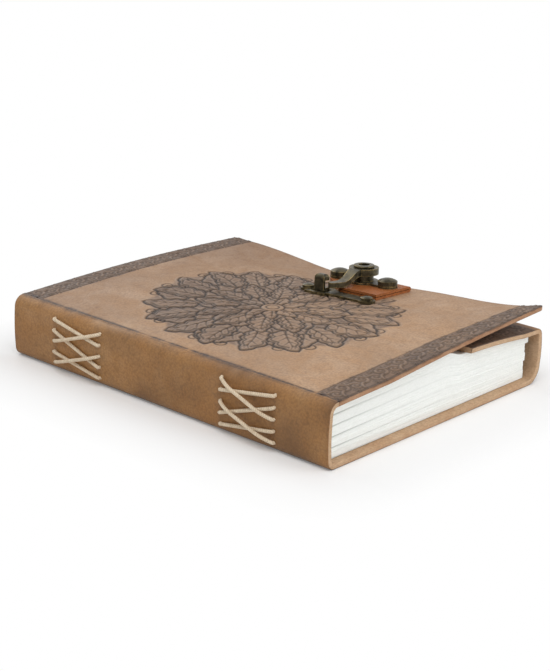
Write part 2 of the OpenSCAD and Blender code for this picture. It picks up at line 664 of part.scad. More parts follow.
// Clasp tab: a strip of leather folded double, its fold towards the fore edge.
tab_bevel = [10.5, 14];
module clasp_tab() {
    color([0.71, 0.38, 0.18]) on_cover() difference() {
        intersection() {
            rotate([90, 0, 0]) translate([0, 0, -tab_high]) linear_extrude(tab_high - tab_low)
                difference() {
                    union() {
                        translate([-tab_back, 0]) square([tab_back + tab_front - tab_t / 2, tab_t]);
                        translate([tab_front - tab_t / 2, tab_t / 2]) circle(d = tab_t);
                    }
                    translate([-tab_back - 1, tab_layer])
                        square([tab_back + tab_front - tab_t / 2 + 1, tab_slit]);
                }
            linear_extrude(3 * tab_t, center = true) polygon([
                [-tab_back, tab_low], [tab_front, tab_low], [tab_front, tab_high],
                [-tab_back + tab_bevel[0], tab_high], [-tab_back, tab_high - tab_bevel[1]]]);
        }
        shank_holes(tab_rivets);
        translate([pivot[0], pivot[1], tab_t - flange_t - foot_room])
            cylinder(d = rim_d + 2 * sunk_room, h = through);
    }
}
module hook_plate() {
    end_r = hook_plate_w / 2;
    color(brass) on_cover() difference() {
        union() {
            for (p = tab_rivets) translate([p[0], p[1], tab_t]) cylinder(r = end_r, h = plate_t);
            translate([pivot[0] - end_r * 0.8, tab_rivets[0][1], tab_t])
                cube([2 * end_r * 0.8, 2 * tab_rivet_dy, plate_t]);
            translate([pivot[0], pivot[1], tab_t]) cylinder(d = eye_d, h = plate_t);
        }
        shank_holes(tab_rivets);
        translate([pivot[0], pivot[1], -through / 2]) cylinder(d = journal_d + 2 * journal_fit, h = through);
    }
}
module tab_rivet_tail() {
    color(brass) on_cover() rivet(tab_rivets[0], hook_plate_top, tab_rivet_d, tab_rivet_h);
}
module tab_rivet_head() {
    color(brass) on_cover() rivet(tab_rivets[1], hook_plate_top, tab_rivet_d, tab_rivet_h);
}

// Pivot eyelet: a hollow rivet with a foot under the plate, a collar, the journal and a rolled rim.
module pivot_eyelet() {
    foot = tab_t - flange_t;
    top = eye_z + eye_t + 0.1;
    color(brass) on_cover() translate([pivot[0], pivot[1], 0]) difference() {
        union() {
            translate([0, 0, foot]) cylinder(d = rim_d, h = flange_t);
            translate([0, 0, foot]) cylinder(d = journal_d, h = top - foot);
            translate([0, 0, hook_plate_top]) cylinder(d = collar_d, h = eye_z - 0.1 - hook_plate_top);
            translate([0, 0, top + rim_t / 2]) rotate_extrude()
                translate([(rim_d - rim_t) / 2, 0]) circle(d = rim_t);
            translate([0, 0, top]) cylinder(d = rim_d - rim_t, h = rim_t);
        }
        translate([0, 0, -through / 2]) cylinder(d = eyelet_bore, h = through);
    }
}

// Swing hook: a flat eye whose arm drops to a low, slim tip.
function hook_drop(r) = smooth((r - eye_d / 2) / (hook_l * 0.72 - eye_d / 2));
function hook_half_w(r) = (tip_w + 3 * clamp(1 - (r - 4) / (hook_l - 6))) / 2;
hook_samples = 10;
module swing_hook() {
    arm_end = hook_l - tip_w / 2;
    rs = [for (i = [0:hook_samples]) 3 + (arm_end - 3) * i / hook_samples];
    bow = [for (r = rs) -hook_bow * sin(180 * (r - 3) / (arm_end - 3))];
    sr = [for (i = [0:hook_samples]) eye_d / 2 + (hook_l + 1 - eye_d / 2) * i / hook_samples];
    color(brass) on_cover() translate([pivot[0], pivot[1], 0]) rotate([0, 0, -rest_angle])
        mirror([1, 0, 0]) difference() {
            intersection() {
                linear_extrude(through) union() {
                    circle(d = eye_d);
                    translate([arm_end, 0]) circle(d = tip_w);
                    polygon(concat(
                        [for (i = [0:hook_samples]) [rs[i], bow[i] - hook_half_w(rs[i])]],
                        [for (i = [hook_samples:-1:0]) [rs[i], bow[i] + hook_half_w(rs[i])]]));
                }
                rotate([90, 0, 0]) linear_extrude(through, center = true) polygon(concat(
                    [[-eye_d, eye_z + eye_t], [-eye_d, eye_z]],
                    [for (r = sr) [r, eye_z + (tip_z - eye_z) * hook_drop(r)]],
                    [for (i = [hook_samples:-1:0]) let (r = sr[i])
                        [r, eye_z + eye_t + (tip_z + tip_t - eye_z - eye_t) * hook_drop(r)]]));
            }
            translate([0, 0, -1]) cylinder(d = journal_d + 2 * journal_fit, h = through);
        }
}

cover_wrap();
front_cover();
page_block();
head_lacing();
tail_lacing();
catch_post();
post_washer();
hasp_plate();
hasp_rivet_tail();
hasp_rivet_head();
clasp_tab();
hook_plate();
tab_rivet_tail();
tab_rivet_head();
pivot_eyelet();
swing_hook();
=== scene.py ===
import math

import bmesh
import bpy
import numpy as np
from mathutils import Matrix, Vector

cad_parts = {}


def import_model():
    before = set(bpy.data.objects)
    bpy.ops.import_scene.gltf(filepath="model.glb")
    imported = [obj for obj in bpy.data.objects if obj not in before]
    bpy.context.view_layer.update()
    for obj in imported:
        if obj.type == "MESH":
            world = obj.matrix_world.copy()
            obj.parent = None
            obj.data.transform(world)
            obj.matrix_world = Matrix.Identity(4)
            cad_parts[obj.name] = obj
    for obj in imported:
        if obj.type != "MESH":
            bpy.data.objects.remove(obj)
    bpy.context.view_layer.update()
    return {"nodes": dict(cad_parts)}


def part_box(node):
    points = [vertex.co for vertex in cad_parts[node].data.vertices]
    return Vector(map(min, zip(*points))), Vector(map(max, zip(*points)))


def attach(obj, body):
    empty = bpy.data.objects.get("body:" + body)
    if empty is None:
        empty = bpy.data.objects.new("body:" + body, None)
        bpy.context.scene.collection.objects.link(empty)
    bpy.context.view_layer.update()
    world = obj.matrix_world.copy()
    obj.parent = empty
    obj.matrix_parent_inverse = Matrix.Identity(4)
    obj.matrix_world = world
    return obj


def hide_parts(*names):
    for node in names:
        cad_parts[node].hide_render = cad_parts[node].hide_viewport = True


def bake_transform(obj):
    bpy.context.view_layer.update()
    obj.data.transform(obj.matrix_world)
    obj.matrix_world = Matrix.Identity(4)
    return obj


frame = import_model()
NODES = frame["nodes"]

# Form of the book in millimetres, as in the part's source: x from the spine, y from the tail
BOOK_L, COVER_D, HINGE_X, HINGE_Z = 180.0, 138.0, 4.3, 27.2
T, GAP = 2.4, 0.3
WALL_X, WALL_BULGE, WALL_FOOT_R, WALL_TOP_R = 138.2, 0.5, 8.0, 3.4
FLAP_X = 87.2
MID_X = WALL_X + WALL_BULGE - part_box("cover_wrap")[1][0] * 1000
# the wrap ends and the cover starts on either side of the crease
END_X, START_X = 4.1, 4.5
SPINE_X, SPINE_Z, SPINE_R, SPINE_BELLY, FOOT_R = -0.9, 22.2, 5.0, 0.4, 4.0

# The closed cover is crowned and sags towards the fore edge, and its tail corner is lifted
CROWN, SAG, SAG_Y, SAG_HALF = 1.6, 3.0, 104.4, 64.8
BEND_X, BEND_POWER = 35.0, 1.1
LIFT, LIFT_REACH = 7.6, 22.0
FLAP_LIFT, FLAP_SOFT_D = 0.45, 38.0
PAGE_LIFT, PAGE_STEP_X, PAGE_STEP_D = 0.4, FLAP_X - 11.5, 10.0
CORNER_R, FORE_HOLLOW = 2.5, 2.0

# The clasp: its place on the cover, and its parts' places from there
CLASP_X, CLASP_Y, SLOPE_REACH, CLASP_RISE = 112.0, 84.0, 10.0, 0.15
POST = (-10.5, 8.5)
SLOT_HALF = (3.3, 3.77)
RIVETS = [(-10.5, -17.0), (-10.5, 16.3), (10.0, -12.2), (10.0, 15.2)]
RIVET_SINK_R, RIVET_SINK = 3.3, 0.85
# flats pressed into the skin by the tab and the hasp plate: x from, x to, y from, y to
FLATS = [(-5.4, 19.9, -18.3, 17.5), (-16.1, -4.9, -21.2, 20.5)]


def smooth(v):
    c = np.clip(v, 0, 1)
    return c * c * (3 - 2 * c)


def gauss(d, width):
    return np.exp(-((d / width) ** 2))


def bell(y):
    return np.cos(np.pi / 2 * np.clip((y - SAG_Y) / SAG_HALF, -1, 1)) ** 2


def bend(x):
    return np.maximum(0, (x - BEND_X) / (COVER_D - BEND_X)) ** BEND_POWER


def closed_z(x, y):
    crown = CROWN * np.sin(np.pi * np.clip((x - HINGE_X) / (COVER_D - HINGE_X), 0, 1))
    return HINGE_Z + crown - SAG * bell(y) * bend(x)


def lift_z(x, y):
    return LIFT * np.exp(-y / LIFT_REACH) * bend(x)


def cover_top(x, y):
    return closed_z(x, y) + lift_z(x, y)


def flap_top(x, y):
    soft = np.clip((FLAP_X + FLAP_SOFT_D - x) / FLAP_SOFT_D, 0, 1)
    return closed_z(x, y) - T - GAP + FLAP_LIFT * lift_z(x, y) * soft


def page_top(x, y):
    """Top of the pages: under the cover near the spine, under the flap further out."""
    s = smooth((x - PAGE_STEP_X) / PAGE_STEP_D)
    under = closed_z(x, y) - T - GAP + PAGE_LIFT * lift_z(x, y)
    return under * (1 - s) + (flap_top(x, y) - T - GAP) * s


def corner_cut(y):
    d = np.minimum(y, BOOK_L - y)
    round_off = CORNER_R - np.sqrt(np.maximum(0, CORNER_R ** 2 - np.maximum(0, CORNER_R - d) ** 2))
    return np.where(d >= CORNER_R, 0, round_off)


def fore_edge(y):
    return COVER_D - FORE_HOLLOW * bell(y) - corner_cut(y)


def clasp_plane(x, y):
    """Height of the plane that the clasp's plates lie on."""
    at = lambda u, v: cover_top(np.array(CLASP_X + u), np.array(CLASP_Y + v))
    sx = (at(SLOPE_REACH, 0) - at(-SLOPE_REACH, 0)) / (2 * SLOPE_REACH)
    sy = (at(0, SLOPE_REACH) - at(0, -SLOPE_REACH)) / (2 * SLOPE_REACH)
    return at(0, 0) + CLASP_RISE + sx * (x - CLASP_X) + sy * (y - CLASP_Y)


def pressed(x, y, z):
    """The skin pressed flat under the clasp's tab and the hasp plate."""
    u, v = x - CLASP_X, y - CLASP_Y
    out = np.full(np.shape(u), np.inf)
    for u0, u1, v0, v1 in FLATS:
        out = np.minimum(out, np.maximum(np.maximum(u0 - u, u - u1), np.maximum(v0 - v, v - v1)))
    return z - smooth(1 - out / 0.5) * np.maximum(0, z - clasp_plane(x, y) + 0.04)


def row(p):
    """Book millimetres to the row frame in metres."""
    return (np.asarray(p, float) - np.array([MID_X, BOOK_L / 2, 0.0])) / 1000


# Small noise for shapes, the same on every run
def hash2(i, j, seed):
    n = (i.astype(np.int64) * 374761393 + j.astype(np.int64) * 668265263 + seed * 144665) & 0xFFFFFFFF
    n = ((n ^ (n >> 13)) * 1274126177) & 0xFFFFFFFF
    return ((n ^ (n >> 16)) & 0xFFFF) / 65535.0


def noise2(x, y, scale, seed):
    """Smooth noise from -0.5 to 0.5, with lumps of the given size."""
    x, y = np.asarray(x) / scale, np.asarray(y) / scale
    i, j = np.floor(x), np.floor(y)
    u, v = smooth(x - i), smooth(y - j)
    a, b = hash2(i, j, seed), hash2(i + 1, j, seed)
    c, d = hash2(i, j + 1, seed), hash2(i + 1, j + 1, seed)
    return (a * (1 - u) + b * u) * (1 - v) + (c * (1 - u) + d * u) * v - 0.5


# Tooled ornament, drawn on a canvas of this many millimetres a cell
PITCH = 0.25
CANVAS_W, CANVAS_H = int(140 / PITCH), int(182 / PITCH)


class Canvas:
    """Height of the tooling, and how far each cell is a dark line (partly painted shade), a raised crest with
    its painted highlight, and stained.
    """

    def __init__(self, w, h):
        self.h, self.line, self.ridge, self.stain = (np.zeros((h, w)) for _ in range(4))

    def places(self):
        return np.meshgrid(*((np.arange(n) + 0.5) * PITCH for n in self.h.shape[::-1]))

    def near(self, pts, pad):
        """The cells near a line, and each one's distance to it and place along it."""
        (x0, y0), (x1, y1) = pts.min(0) - pad, pts.max(0) + pad
        i0, j0 = max(0, int(x0 / PITCH)), max(0, int(y0 / PITCH))
        i1 = min(self.h.shape[1], int(x1 / PITCH) + 2)
        j1 = min(self.h.shape[0], int(y1 / PITCH) + 2)
        if i1 <= i0 or j1 <= j0:
            return None
        gx, gy = np.meshgrid((np.arange(i0, i1) + 0.5) * PITCH, (np.arange(j0, j1) + 0.5) * PITCH)
        return (slice(j0, j1), slice(i0, i1)), gx, gy, *distance(pts, gx, gy)

    def groove(self, pts, width, depth, dark, ridge, taper=False):
        """A line pressed in, dark partly with painted shade, with a low raised crest along both sides that
        carries a painted highlight.
        """
        found = self.near(np.asarray(pts, float), 2.2)
        if found is None:
            return
        s, _, _, d, along = found
        k = 1 - 0.7 * along if taper else 1.0
        core = gauss(d, width * k)
        side = gauss(d - 2.0 * width, 0.75 * width) * ridge
        self.h[s] -= depth * core * k
        self.line[s] = np.maximum(self.line[s], dark * core * (0.5 + 0.5 * k))
        self.ridge[s] = np.maximum(self.ridge[s] * (1 - core), side)
        self.h[s] += 0.28 * depth * side

    def bead(self, pts, width, height, light=0.9):
        """A line left standing, with a painted highlight along it and painted shade along both sides."""
        found = self.near(np.asarray(pts, float), 2.0)
        if found is None:
            return
        s, _, _, d, _ = found
        core = gauss(d, width)
        self.h[s] += height * core
        self.ridge[s] = np.maximum(self.ridge[s], light * core)
        self.line[s] = np.maximum(self.line[s] * (1 - core), 0.8 * gauss(d - 2 * width, 0.7 * width))

    def fill(self, pts, swell, stain, soft=1.3):
        """A swollen field inside an outline, which covers what was drawn there."""
        pts = np.asarray(pts, float)
        found = self.near(np.vstack([pts, pts[:1]]), 1.0)
        if found is None:
            return
        s, gx, gy, d, _ = found
        hit = np.zeros(gx.shape, bool)
        for (xa, ya), (xb, yb) in zip(pts, np.roll(pts, -1, 0)):
            if ya != yb:
                hit ^= ((ya > gy) != (yb > gy)) & (gx < (xb - xa) * (gy - ya) / (yb - ya) + xa)
        for a in (self.line, self.ridge):
            a[s] = np.where(hit, 0, a[s])
        self.h[s] = np.where(hit, swell * (1 - np.exp(-d / soft)), self.h[s])
        self.stain[s] = np.where(hit, stain + 0.35 * np.exp(-d / 0.8), self.stain[s])


def distance(pts, gx, gy):
    """Distance to a polyline, and how far along it the nearest point is."""
    best = np.full(gx.shape, 1e9)
    along = np.zeros(gx.shape)
    n = len(pts) - 1
    for k in range(n):
        a, ab = pts[k], pts[k + 1] - pts[k]
        q = np.clip(((gx - a[0]) * ab[0] + (gy - a[1]) * ab[1]) / max(1e-9, ab @ ab), 0, 1)
        d = np.hypot(gx - a[0] - q * ab[0], gy - a[1] - q * ab[1])
        m = d < best
        best = np.where(m, d, best)
        along = np.where(m, (k + q) / n, along)
    return best, along


def curve_from(base, ang, length, curl, n=22):
    """A line that starts at an angle and curls more and more, and its angle at each point."""
    th = ang + curl * np.linspace(0, 1, n) ** 1.4
    step = length / (n - 1)
    x = base[0] + np.concatenate([[0], np.cumsum(np.cos(th[:-1]) * step)])
    y = base[1] + np.concatenate([[0], np.cumsum(np.sin(th[:-1]) * step)])
    return np.stack([x, y], 1), th


def spiral(centre, r0, r1, a0, turns, n=40):
    t = np.linspace(0, 1, n)
    a = a0 + turns * 2 * np.pi * t
    r = r0 + (r1 - r0) * t ** 0.8
    return np.stack([centre[0] + r * np.cos(a), centre[1] + r * np.sin(a)], 1)


def ring(centre, r):
    return spiral(centre, r, r, 0, 1, 36)


def leaf(c, base, ang, length, width, curl, lobes, stain, swell, inner):
    """One acanthus leaf: scalloped outline, a second line inside it, midrib and veins."""
    n = 40
    mid, th = curve_from(base, ang, length, curl, n)
    t = np.linspace(0, 1, n)
    nrm = np.stack([-np.sin(th), np.cos(th)], 1)
    body = width * np.sin(np.pi * t ** 0.72) ** 0.7
    lobe = 0.74 + 0.26 * np.abs(np.cos(np.pi * (lobes * t + 0.35)))
    lean = 0.18 if curl >= 0 else -0.18
    left = mid + nrm * (body * lobe * (1 - lean))[:, None]
    right = mid - nrm * (body * lobe * (1 + lean))[:, None]
    outline = np.vstack([left, right[::-1][1:-1]])
    c.fill(outline, swell, stain)
    c.groove(np.vstack([outline, outline[:1]]), 0.58, 0.45, 1.0, 0.9)
    if inner:
        for sgn, k in ((1, 1 - lean), (-1, 1 + lean)):
            w = np.maximum(0, body * lobe * k - 1.7)
            c.groove((mid + sgn * nrm * w[:, None])[4:-7], 0.4, 0.3, 0.9, 0.7)
    c.groove(mid[2:-4], 0.5, 0.4, 1.0, 0.85, taper=True)
    for k in range(1, lobes + 1):
        i = int(n * k / (lobes + 1) * 0.92)
        j = min(n - 2, i + 6)
        for sgn, edge in ((1, left), (-1, right)):
            tip = mid[j] * 0.3 + edge[j] * 0.7
            vein = np.array([mid[i], (mid[i] + tip) / 2 - 0.25 * sgn * nrm[i], tip])
            c.groove(vein, 0.4, 0.3, 0.9, 0.6, taper=True)


# The rosette: it is a little longer than wide, and one side of it is darker
ROSETTE_X, ROSETTE_Y, ROSETTE_R, SCALLOP = 66.5, BOOK_L / 2, 45.5, 1.5
OUTER_LEAVES, LONGER, LARGER = 18, 1.07, 1.15
DARKER_SIDE = 2.0
BOSS_R = (5.2, 2.8)


def around(n, off=0.0):
    """Angles of n leaves in a ring, each with the side that it leans to."""
    return [(2 * np.pi * (k + off) / n, 1 if k % 2 else -1) for k in range(n)]


def rosette(c):
    """A foliate rosette: three rings of leaves round a boss, with curled shoots between them."""
    centre = (ROSETTE_X, ROSETTE_Y)
    gx, gy = c.places()
    gy = ROSETTE_Y + (gy - ROSETTE_Y) / LONGER
    dist, ang = np.hypot(gx - ROSETTE_X, gy - ROSETTE_Y), np.arctan2(gy - ROSETTE_Y, gx - ROSETTE_X)
    reach = LARGER * (ROSETTE_R + SCALLOP * np.cos(OUTER_LEAVES * (ang - np.pi / OUTER_LEAVES)))
    c.stain += 0.95 * smooth((reach - dist) / 2.5)
    rnd = np.random.default_rng(3)

    def at(r, a):
        return ROSETTE_X + LARGER * r * math.cos(a), ROSETTE_Y + LARGER * LONGER * r * math.sin(a)

    def dark(a):
        return 0.62 + 0.3 * math.cos(a - DARKER_SIDE)

    def petal(r, a, lean, length, width, curl, lobes, stain, swell, inner=True):
        length, width, stain = LARGER * length, LARGER * width, dark(a) + stain
        leaf(c, at(r, a), a + lean, length, width, curl, lobes, stain, swell, inner)

    for a, s in around(OUTER_LEAVES):
        petal(31, a, 0.2 * s, 15 + rnd.random(), 4.4, 0.9 * s, 2, 0.15, 0.2, False)
        c.groove(spiral(at(43.5, a + 0.045 * s), 3.4, 0.7, a + 1.6 * s, -1.1 * s), 0.42, 0.34, 1.0, 0.8)
    for a, s in around(OUTER_LEAVES, 0.5):
        petal(26.5, a, -0.1 * s, 20.5 + 1.6 * rnd.random(), 6.3, 0.42 * s, 4, 0.12 * rnd.random(), 0.36)
    for k in range(48):
        a = 2 * np.pi * (k + 0.3 * rnd.random()) / 48
        c.groove(curve_from(at(25, a), a + 0.25, 9, -0.4)[0], 0.36, 0.24, 0.85, 0.5, taper=True)
    for a, s in around(OUTER_LEAVES * 2 // 3, 0.5):
        petal(15.5, a, 0.1 * s, 12, 3.6, 0.6 * s, 2, 0.2, 0.3, False)
    for a, s in around(OUTER_LEAVES * 2 // 3):
        petal(11.5, a, 0, 18.3, 5.3, 0.3 * s, 4, 0.12 * rnd.random(), 0.38)
    for a, _ in around(36):
        c.groove(curve_from(at(9.5, a), a, 5.7, 0.2)[0], 0.34, 0.24, 0.8, 0.45, taper=True)
    for a, _ in around(OUTER_LEAVES // 2, 0.5):
        petal(3.6, a, 0, 10.6, 3.3, 0.001, 2, 0, 0.36, False)
    c.fill(ring(centre, BOSS_R[0]), 0.42, 0.3, 1.6)
    for r in BOSS_R:
        c.groove(ring(centre, r), 0.42, 0.34, 1.0, 0.7)


# The scrolled border along the head and the tail: its width, the length of one repeat, and in each
# repeat the scrolls (hand, x, y) and the small flowers (x, y)
BAND_W, PERIOD = 12.45, 11.5
SCROLLS = [(1, 2.9, 7.6), (-1, 2.9 + PERIOD / 2, 4.8)]
FLOWERS = [(PERIOD / 2, 2.2), (0.0, 10.3), (PERIOD, 10.3)]
BORDER_LINES = (0.7, 11.6)


def dot(c, x, y, long, width, height, light=0.9):
    c.bead(np.array([(x, y), (x + long, y)]), width, height, light)


def band_tile():
    """One repeat of the border, cut from the middle of three: raised scrolls, light with painted highlights,
    on a dark ground.
    """
    wide = int(round(3 * PERIOD / PITCH))
    c = Canvas(wide, int(round(BAND_W / PITCH)) + 1)
    for o in (0, PERIOD, 2 * PERIOD):
        for sgn, u, v in SCROLLS:
            main = spiral((o + u, v), 3.3, 0.55, -2.2 * sgn, 1.45 * sgn, 46)
            c.bead(main, 0.46, 0.36)
            c.bead(curve_from(main[0], 0.5 * sgn + np.pi, 4.6, 1.0 * sgn, 12)[0], 0.42, 0.3)
            for da in (0.2, 1.3, 2.4):
                p = (o + u + 3.5 * math.cos(da * sgn), v + 3.5 * math.sin(da * sgn))
                c.bead(curve_from(p, da * sgn + 0.7, 1.7, 0.9 * sgn, 7)[0], 0.38, 0.28)
            dot(c, o + u, v, 0.05, 0.5, 0.3)
        for u, v in FLOWERS:
            for a, _ in around(5):
                dot(c, o + u + 0.85 * math.cos(a), v + 0.85 * math.sin(a), 0.02, 0.3, 0.24, 0.8)
    for v in BORDER_LINES:
        c.groove(np.array([(-2, v), (wide * PITCH + 2, v)]), 0.28, 0.28, 1.0, 0.5)
    n = int(round(PERIOD / PITCH))
    return c.h[:, n:2 * n], 0.8 * c.line[:, n:2 * n], 0.6 * c.ridge[:, n:2 * n]


def add_bands(c):
    """The border along the tail, and its mirror image along the head."""
    tiles = band_tile()
    rows, cols = tiles[0].shape
    gx, gy = c.places()
    xs, yy = np.arange(c.h.shape[1]) % cols, gy[:, 0]
    for base, flip in ((0.0, False), (BOOK_L - BAND_W, True)):
        v = np.floor((yy - base) / PITCH).astype(int)
        ok = (v >= 0) & (v < rows)
        src = (rows - 1 - v[ok]) if flip else v[ok]
        for dst, tile in zip((c.h, c.line, c.ridge), tiles):
            dst[ok] = tile[src][:, xs]
    ragged_side = 1.6 * noise2(gx - PITCH / 2, gy, 7, 5)
    c.stain = np.maximum(c.stain, smooth((BAND_W - np.minimum(gy, BOOK_L - gy) + ragged_side) / 1.3))


ART = Canvas(CANVAS_W, CANVAS_H)
rosette(ART)
add_bands(ART)


def sample(a, x, y):
    """Value of a canvas layer at book coordinates, between its cells."""
    u = np.clip(x / PITCH - 0.5, 0, a.shape[1] - 1.001)
    v = np.clip(y / PITCH - 0.5, 0, a.shape[0] - 1.001)
    i, j = u.astype(int), v.astype(int)
    fu, fv = u - i, v - j
    low = a[j, i] * (1 - fu) + a[j, i + 1] * fu
    high = a[j + 1, i] * (1 - fu) + a[j + 1, i + 1] * fu
    return low * (1 - fv) + high * fv


class Builder:
    """Collects grids of points into one mesh with a value per vertex for each key."""

    def __init__(self, keys):
        self.v, self.f, self.n = [], [], 0
        self.a = {k: [] for k in keys}

    def grid(self, p, flip=False, closed=False, **attrs):
        nv, nu = p.shape[:2]
        j, i = np.meshgrid(np.arange(nv - 1), np.arange(nu if closed else nu - 1), indexing="ij")
        k = (i + 1) % nu
        q = np.stack([j * nu + i, j * nu + k, (j + 1) * nu + k, (j + 1) * nu + i], -1).reshape(-1, 4)
        self.f.append((q[:, ::-1] if flip else q) + self.n)
        self.v.append(p.reshape(-1, 3))
        for key, values in self.a.items():
            values.append(np.broadcast_to(attrs.get(key, 0.0), (nv, nu)).reshape(-1))
        self.n += nv * nu

    def done(self, name):
        me = bpy.data.meshes.new(name)
        me.from_pydata(row(np.vstack(self.v)).tolist(), [], np.vstack(self.f).tolist())
        me.update()
        for key, values in self.a.items():
            a = me.attributes.new(key, "FLOAT", "POINT")
            a.data.foreach_set("value", np.concatenate(values).astype(np.float32))
        me.polygons.foreach_set("use_smooth", [True] * len(me.polygons))
        ob = bpy.data.objects.new(name, me)
        bpy.context.scene.collection.objects.link(ob)
        return ob


def finish(ob, mat):
    ob.data.materials.clear()
    ob.data.materials.append(mat)


class Shader:
    """A material and short calls for its nodes."""

    def __init__(self, name):
        self.mat = bpy.data.materials.new(name)
        self.mat.use_nodes = True
        self.t = self.mat.node_tree
        self.t.nodes.clear()
        self.out = self.t.nodes.new("ShaderNodeOutputMaterial")

    def put(self, sock, v):
        if isinstance(v, bpy.types.NodeSocket):
            self.t.links.new(v, sock)
        elif isinstance(v, tuple) and len(v) == 3 and sock.type == "RGBA":
            sock.default_value = (*v, 1)
        else:
            sock.default_value = v

    def n(self, kind, props=None, out=0, **ins):
        """A node's output. Inputs go by name, or by number as i0, i1 and so on."""
        node = self.t.nodes.new("ShaderNode" + kind)
        for k, v in (props or {}).items():
            setattr(node, k, v)
        for k, v in ins.items():
            key = int(k[1:]) if k[0] == "i" and k[1:].isdigit() else k.replace("_", " ")
            self.put(node.inputs[key], v)
        return node.outputs[out]

    def coord(self, scale=(1, 1, 1)):
        """Place on the object in metres, times a scale along each axis."""
        return self.n("Mapping", i0=self.n("TexCoord", out=3), Scale=scale)

    def noise(self, vec, scale, detail=3.0, rough=0.5, dist=0.0):
        return self.n("TexNoise", Vector=vec, Scale=scale, Detail=detail, Roughness=rough, Distortion=dist)

    def voronoi(self, vec, scale, feature="F1"):
        return self.n("TexVoronoi", {"feature": feature}, Vector=vec, Scale=scale)

    def attr(self, name):
        return self.n("Attribute", {"attribute_name": name}, out=2)

    def math(self, op, a, b=0.0):
        return self.n("Math", {"operation": op}, i0=a, i1=b)

    def mul(self, a, b):
        return self.math("MULTIPLY", a, b)

    def add(self, a, b):
        return self.math("ADD", a, b)

    def span(self, v, a, b, c=0.0, d=1.0):
        return self.n("MapRange", {"clamp": True}, Value=v, From_Min=a, From_Max=b, To_Min=c, To_Max=d)

    def mix(self, f, a, b):
        return self.n("Mix", {"data_type": "RGBA", "clamp_factor": True}, out=2, i0=f, i6=a, i7=b)

    def bump(self, height, strength, dist, **ins):
        return self.n("Bump", Strength=strength, Distance=dist, Height=height, **ins)

    def surface(self, **ins):
        self.t.links.new(self.n("BsdfPrincipled", **ins), self.out.inputs[0])
        return self.mat


def rgb(r, g, b):
    f = lambda c: c / 12.92 if c <= 0.04045 else ((c + 0.055) / 1.055) ** 2.4
    return tuple(f(c / 255) for c in (r, g, b))


def leather(name, light, mid, dark, warm, deep=rgb(0, 0, 0), art=False):
    """Grain side: mottled, scuffed and pebbled. With art, it also takes the tooling's colours: its stain,
    dark lines partly of painted shade, and painted highlights on its raised crests.
    """
    s = Shader(name)
    p = s.coord()
    big = s.span(s.noise(p, 17, 5, 0.62, 0.6), 0.36, 0.64)
    med = s.span(s.noise(p, 70, 5, 0.65, 0.8), 0.36, 0.66)
    fine = s.noise(p, 900, 4, 0.65)
    pebble = s.voronoi(p, 1100)
    spots = s.span(s.noise(p, 220, 5, 0.7, 0.3), 0.54, 0.74)
    scuffs = s.noise(s.coord((260, 45, 120)), 1.0, 4, 0.7, 1.2)
    col = s.mix(big, mid, light)
    col = s.mix(s.mul(med, 0.45), col, warm)
    for amount in (s.mul(spots, 0.45), s.span(scuffs, 0.6, 0.72, 0, 0.3),
                   s.span(fine, 0.45, 0.75, 0, 0.26), s.span(pebble, 0.3, 0.85, 0, 0.34)):
        col = s.mix(amount, col, dark)
    col = s.mix(s.mul(s.attr("age"), s.span(med, 0, 1, 0.75, 1.0)), col, deep)
    col = s.mix(s.mul(s.attr("wear"), 0.6), col, rgb(214, 180, 146))
    rough = s.span(med, 0, 1, 0.5, 0.62)
    if art:
        line = s.attr("line")
        patch = s.span(s.noise(p, 120, 4, 0.6, 0.5), 0.25, 0.75, 0.6, 1.0)
        highlight_patches = s.span(s.noise(p, 300, 3), 0.3, 0.7, 0.25, 0.7)
        col = s.mix(s.mul(s.mul(s.attr("stain"), patch), 0.92), col, rgb(84, 67, 58))
        # painted highlight on the tooling's raised crests, in patches
        col = s.mix(s.mul(s.attr("ridge"), highlight_patches), col, rgb(166, 143, 124))
        # dark tooled lines, partly painted shade in the grooves
        col = s.mix(s.mul(line, 0.95), col, rgb(34, 27, 24))
        rough = s.add(rough, s.mul(line, 0.1))
    broken = s.span(s.noise(p, 700, 4, 0.7, 0.6), 0.34, 0.52, 0.55, 1.0)
    # burnt lines and edges; on the wrap also painted contact shadow at the foot and painted shade where the
    # cords go into the spine
    col = s.mix(s.mul(s.mul(s.attr("burn"), broken), 0.97), col, rgb(44, 34, 35))
    nrm = s.bump(s.add(s.mul(fine, 0.35), s.mul(pebble, -0.6)), 0.55, 0.0002)
    cracks = s.voronoi(s.coord((30, 90, 60)), 1.0, "DISTANCE_TO_EDGE")
    nrm = s.bump(s.span(cracks, 0.0, 0.02), 0.2, 0.0002, Normal=nrm)
    return s.surface(Base_Color=col, Roughness=rough, Normal=nrm, Specular_IOR_Level=0.35)


def raw_leather(name, light, dark):
    """Cut edges and the flesh side: fibrous and matt."""
    s = Shader(name)
    fib = s.noise(s.coord((1, 1, 3)), 700, 6, 0.75, 0.8)
    col = s.mix(s.span(s.noise(s.coord(), 90, 3, 0.6), 0.3, 0.7), light, dark)
    col = s.mix(s.span(fib, 0.4, 0.7, 0, 0.5), col, rgb(112, 78, 56))
    col = s.mix(s.mul(s.attr("burn"), 0.8), col, rgb(70, 50, 38))
    return s.surface(Base_Color=col, Roughness=0.85, Normal=s.bump(fib, 0.6, 0.0004), Specular_IOR_Level=0.2)


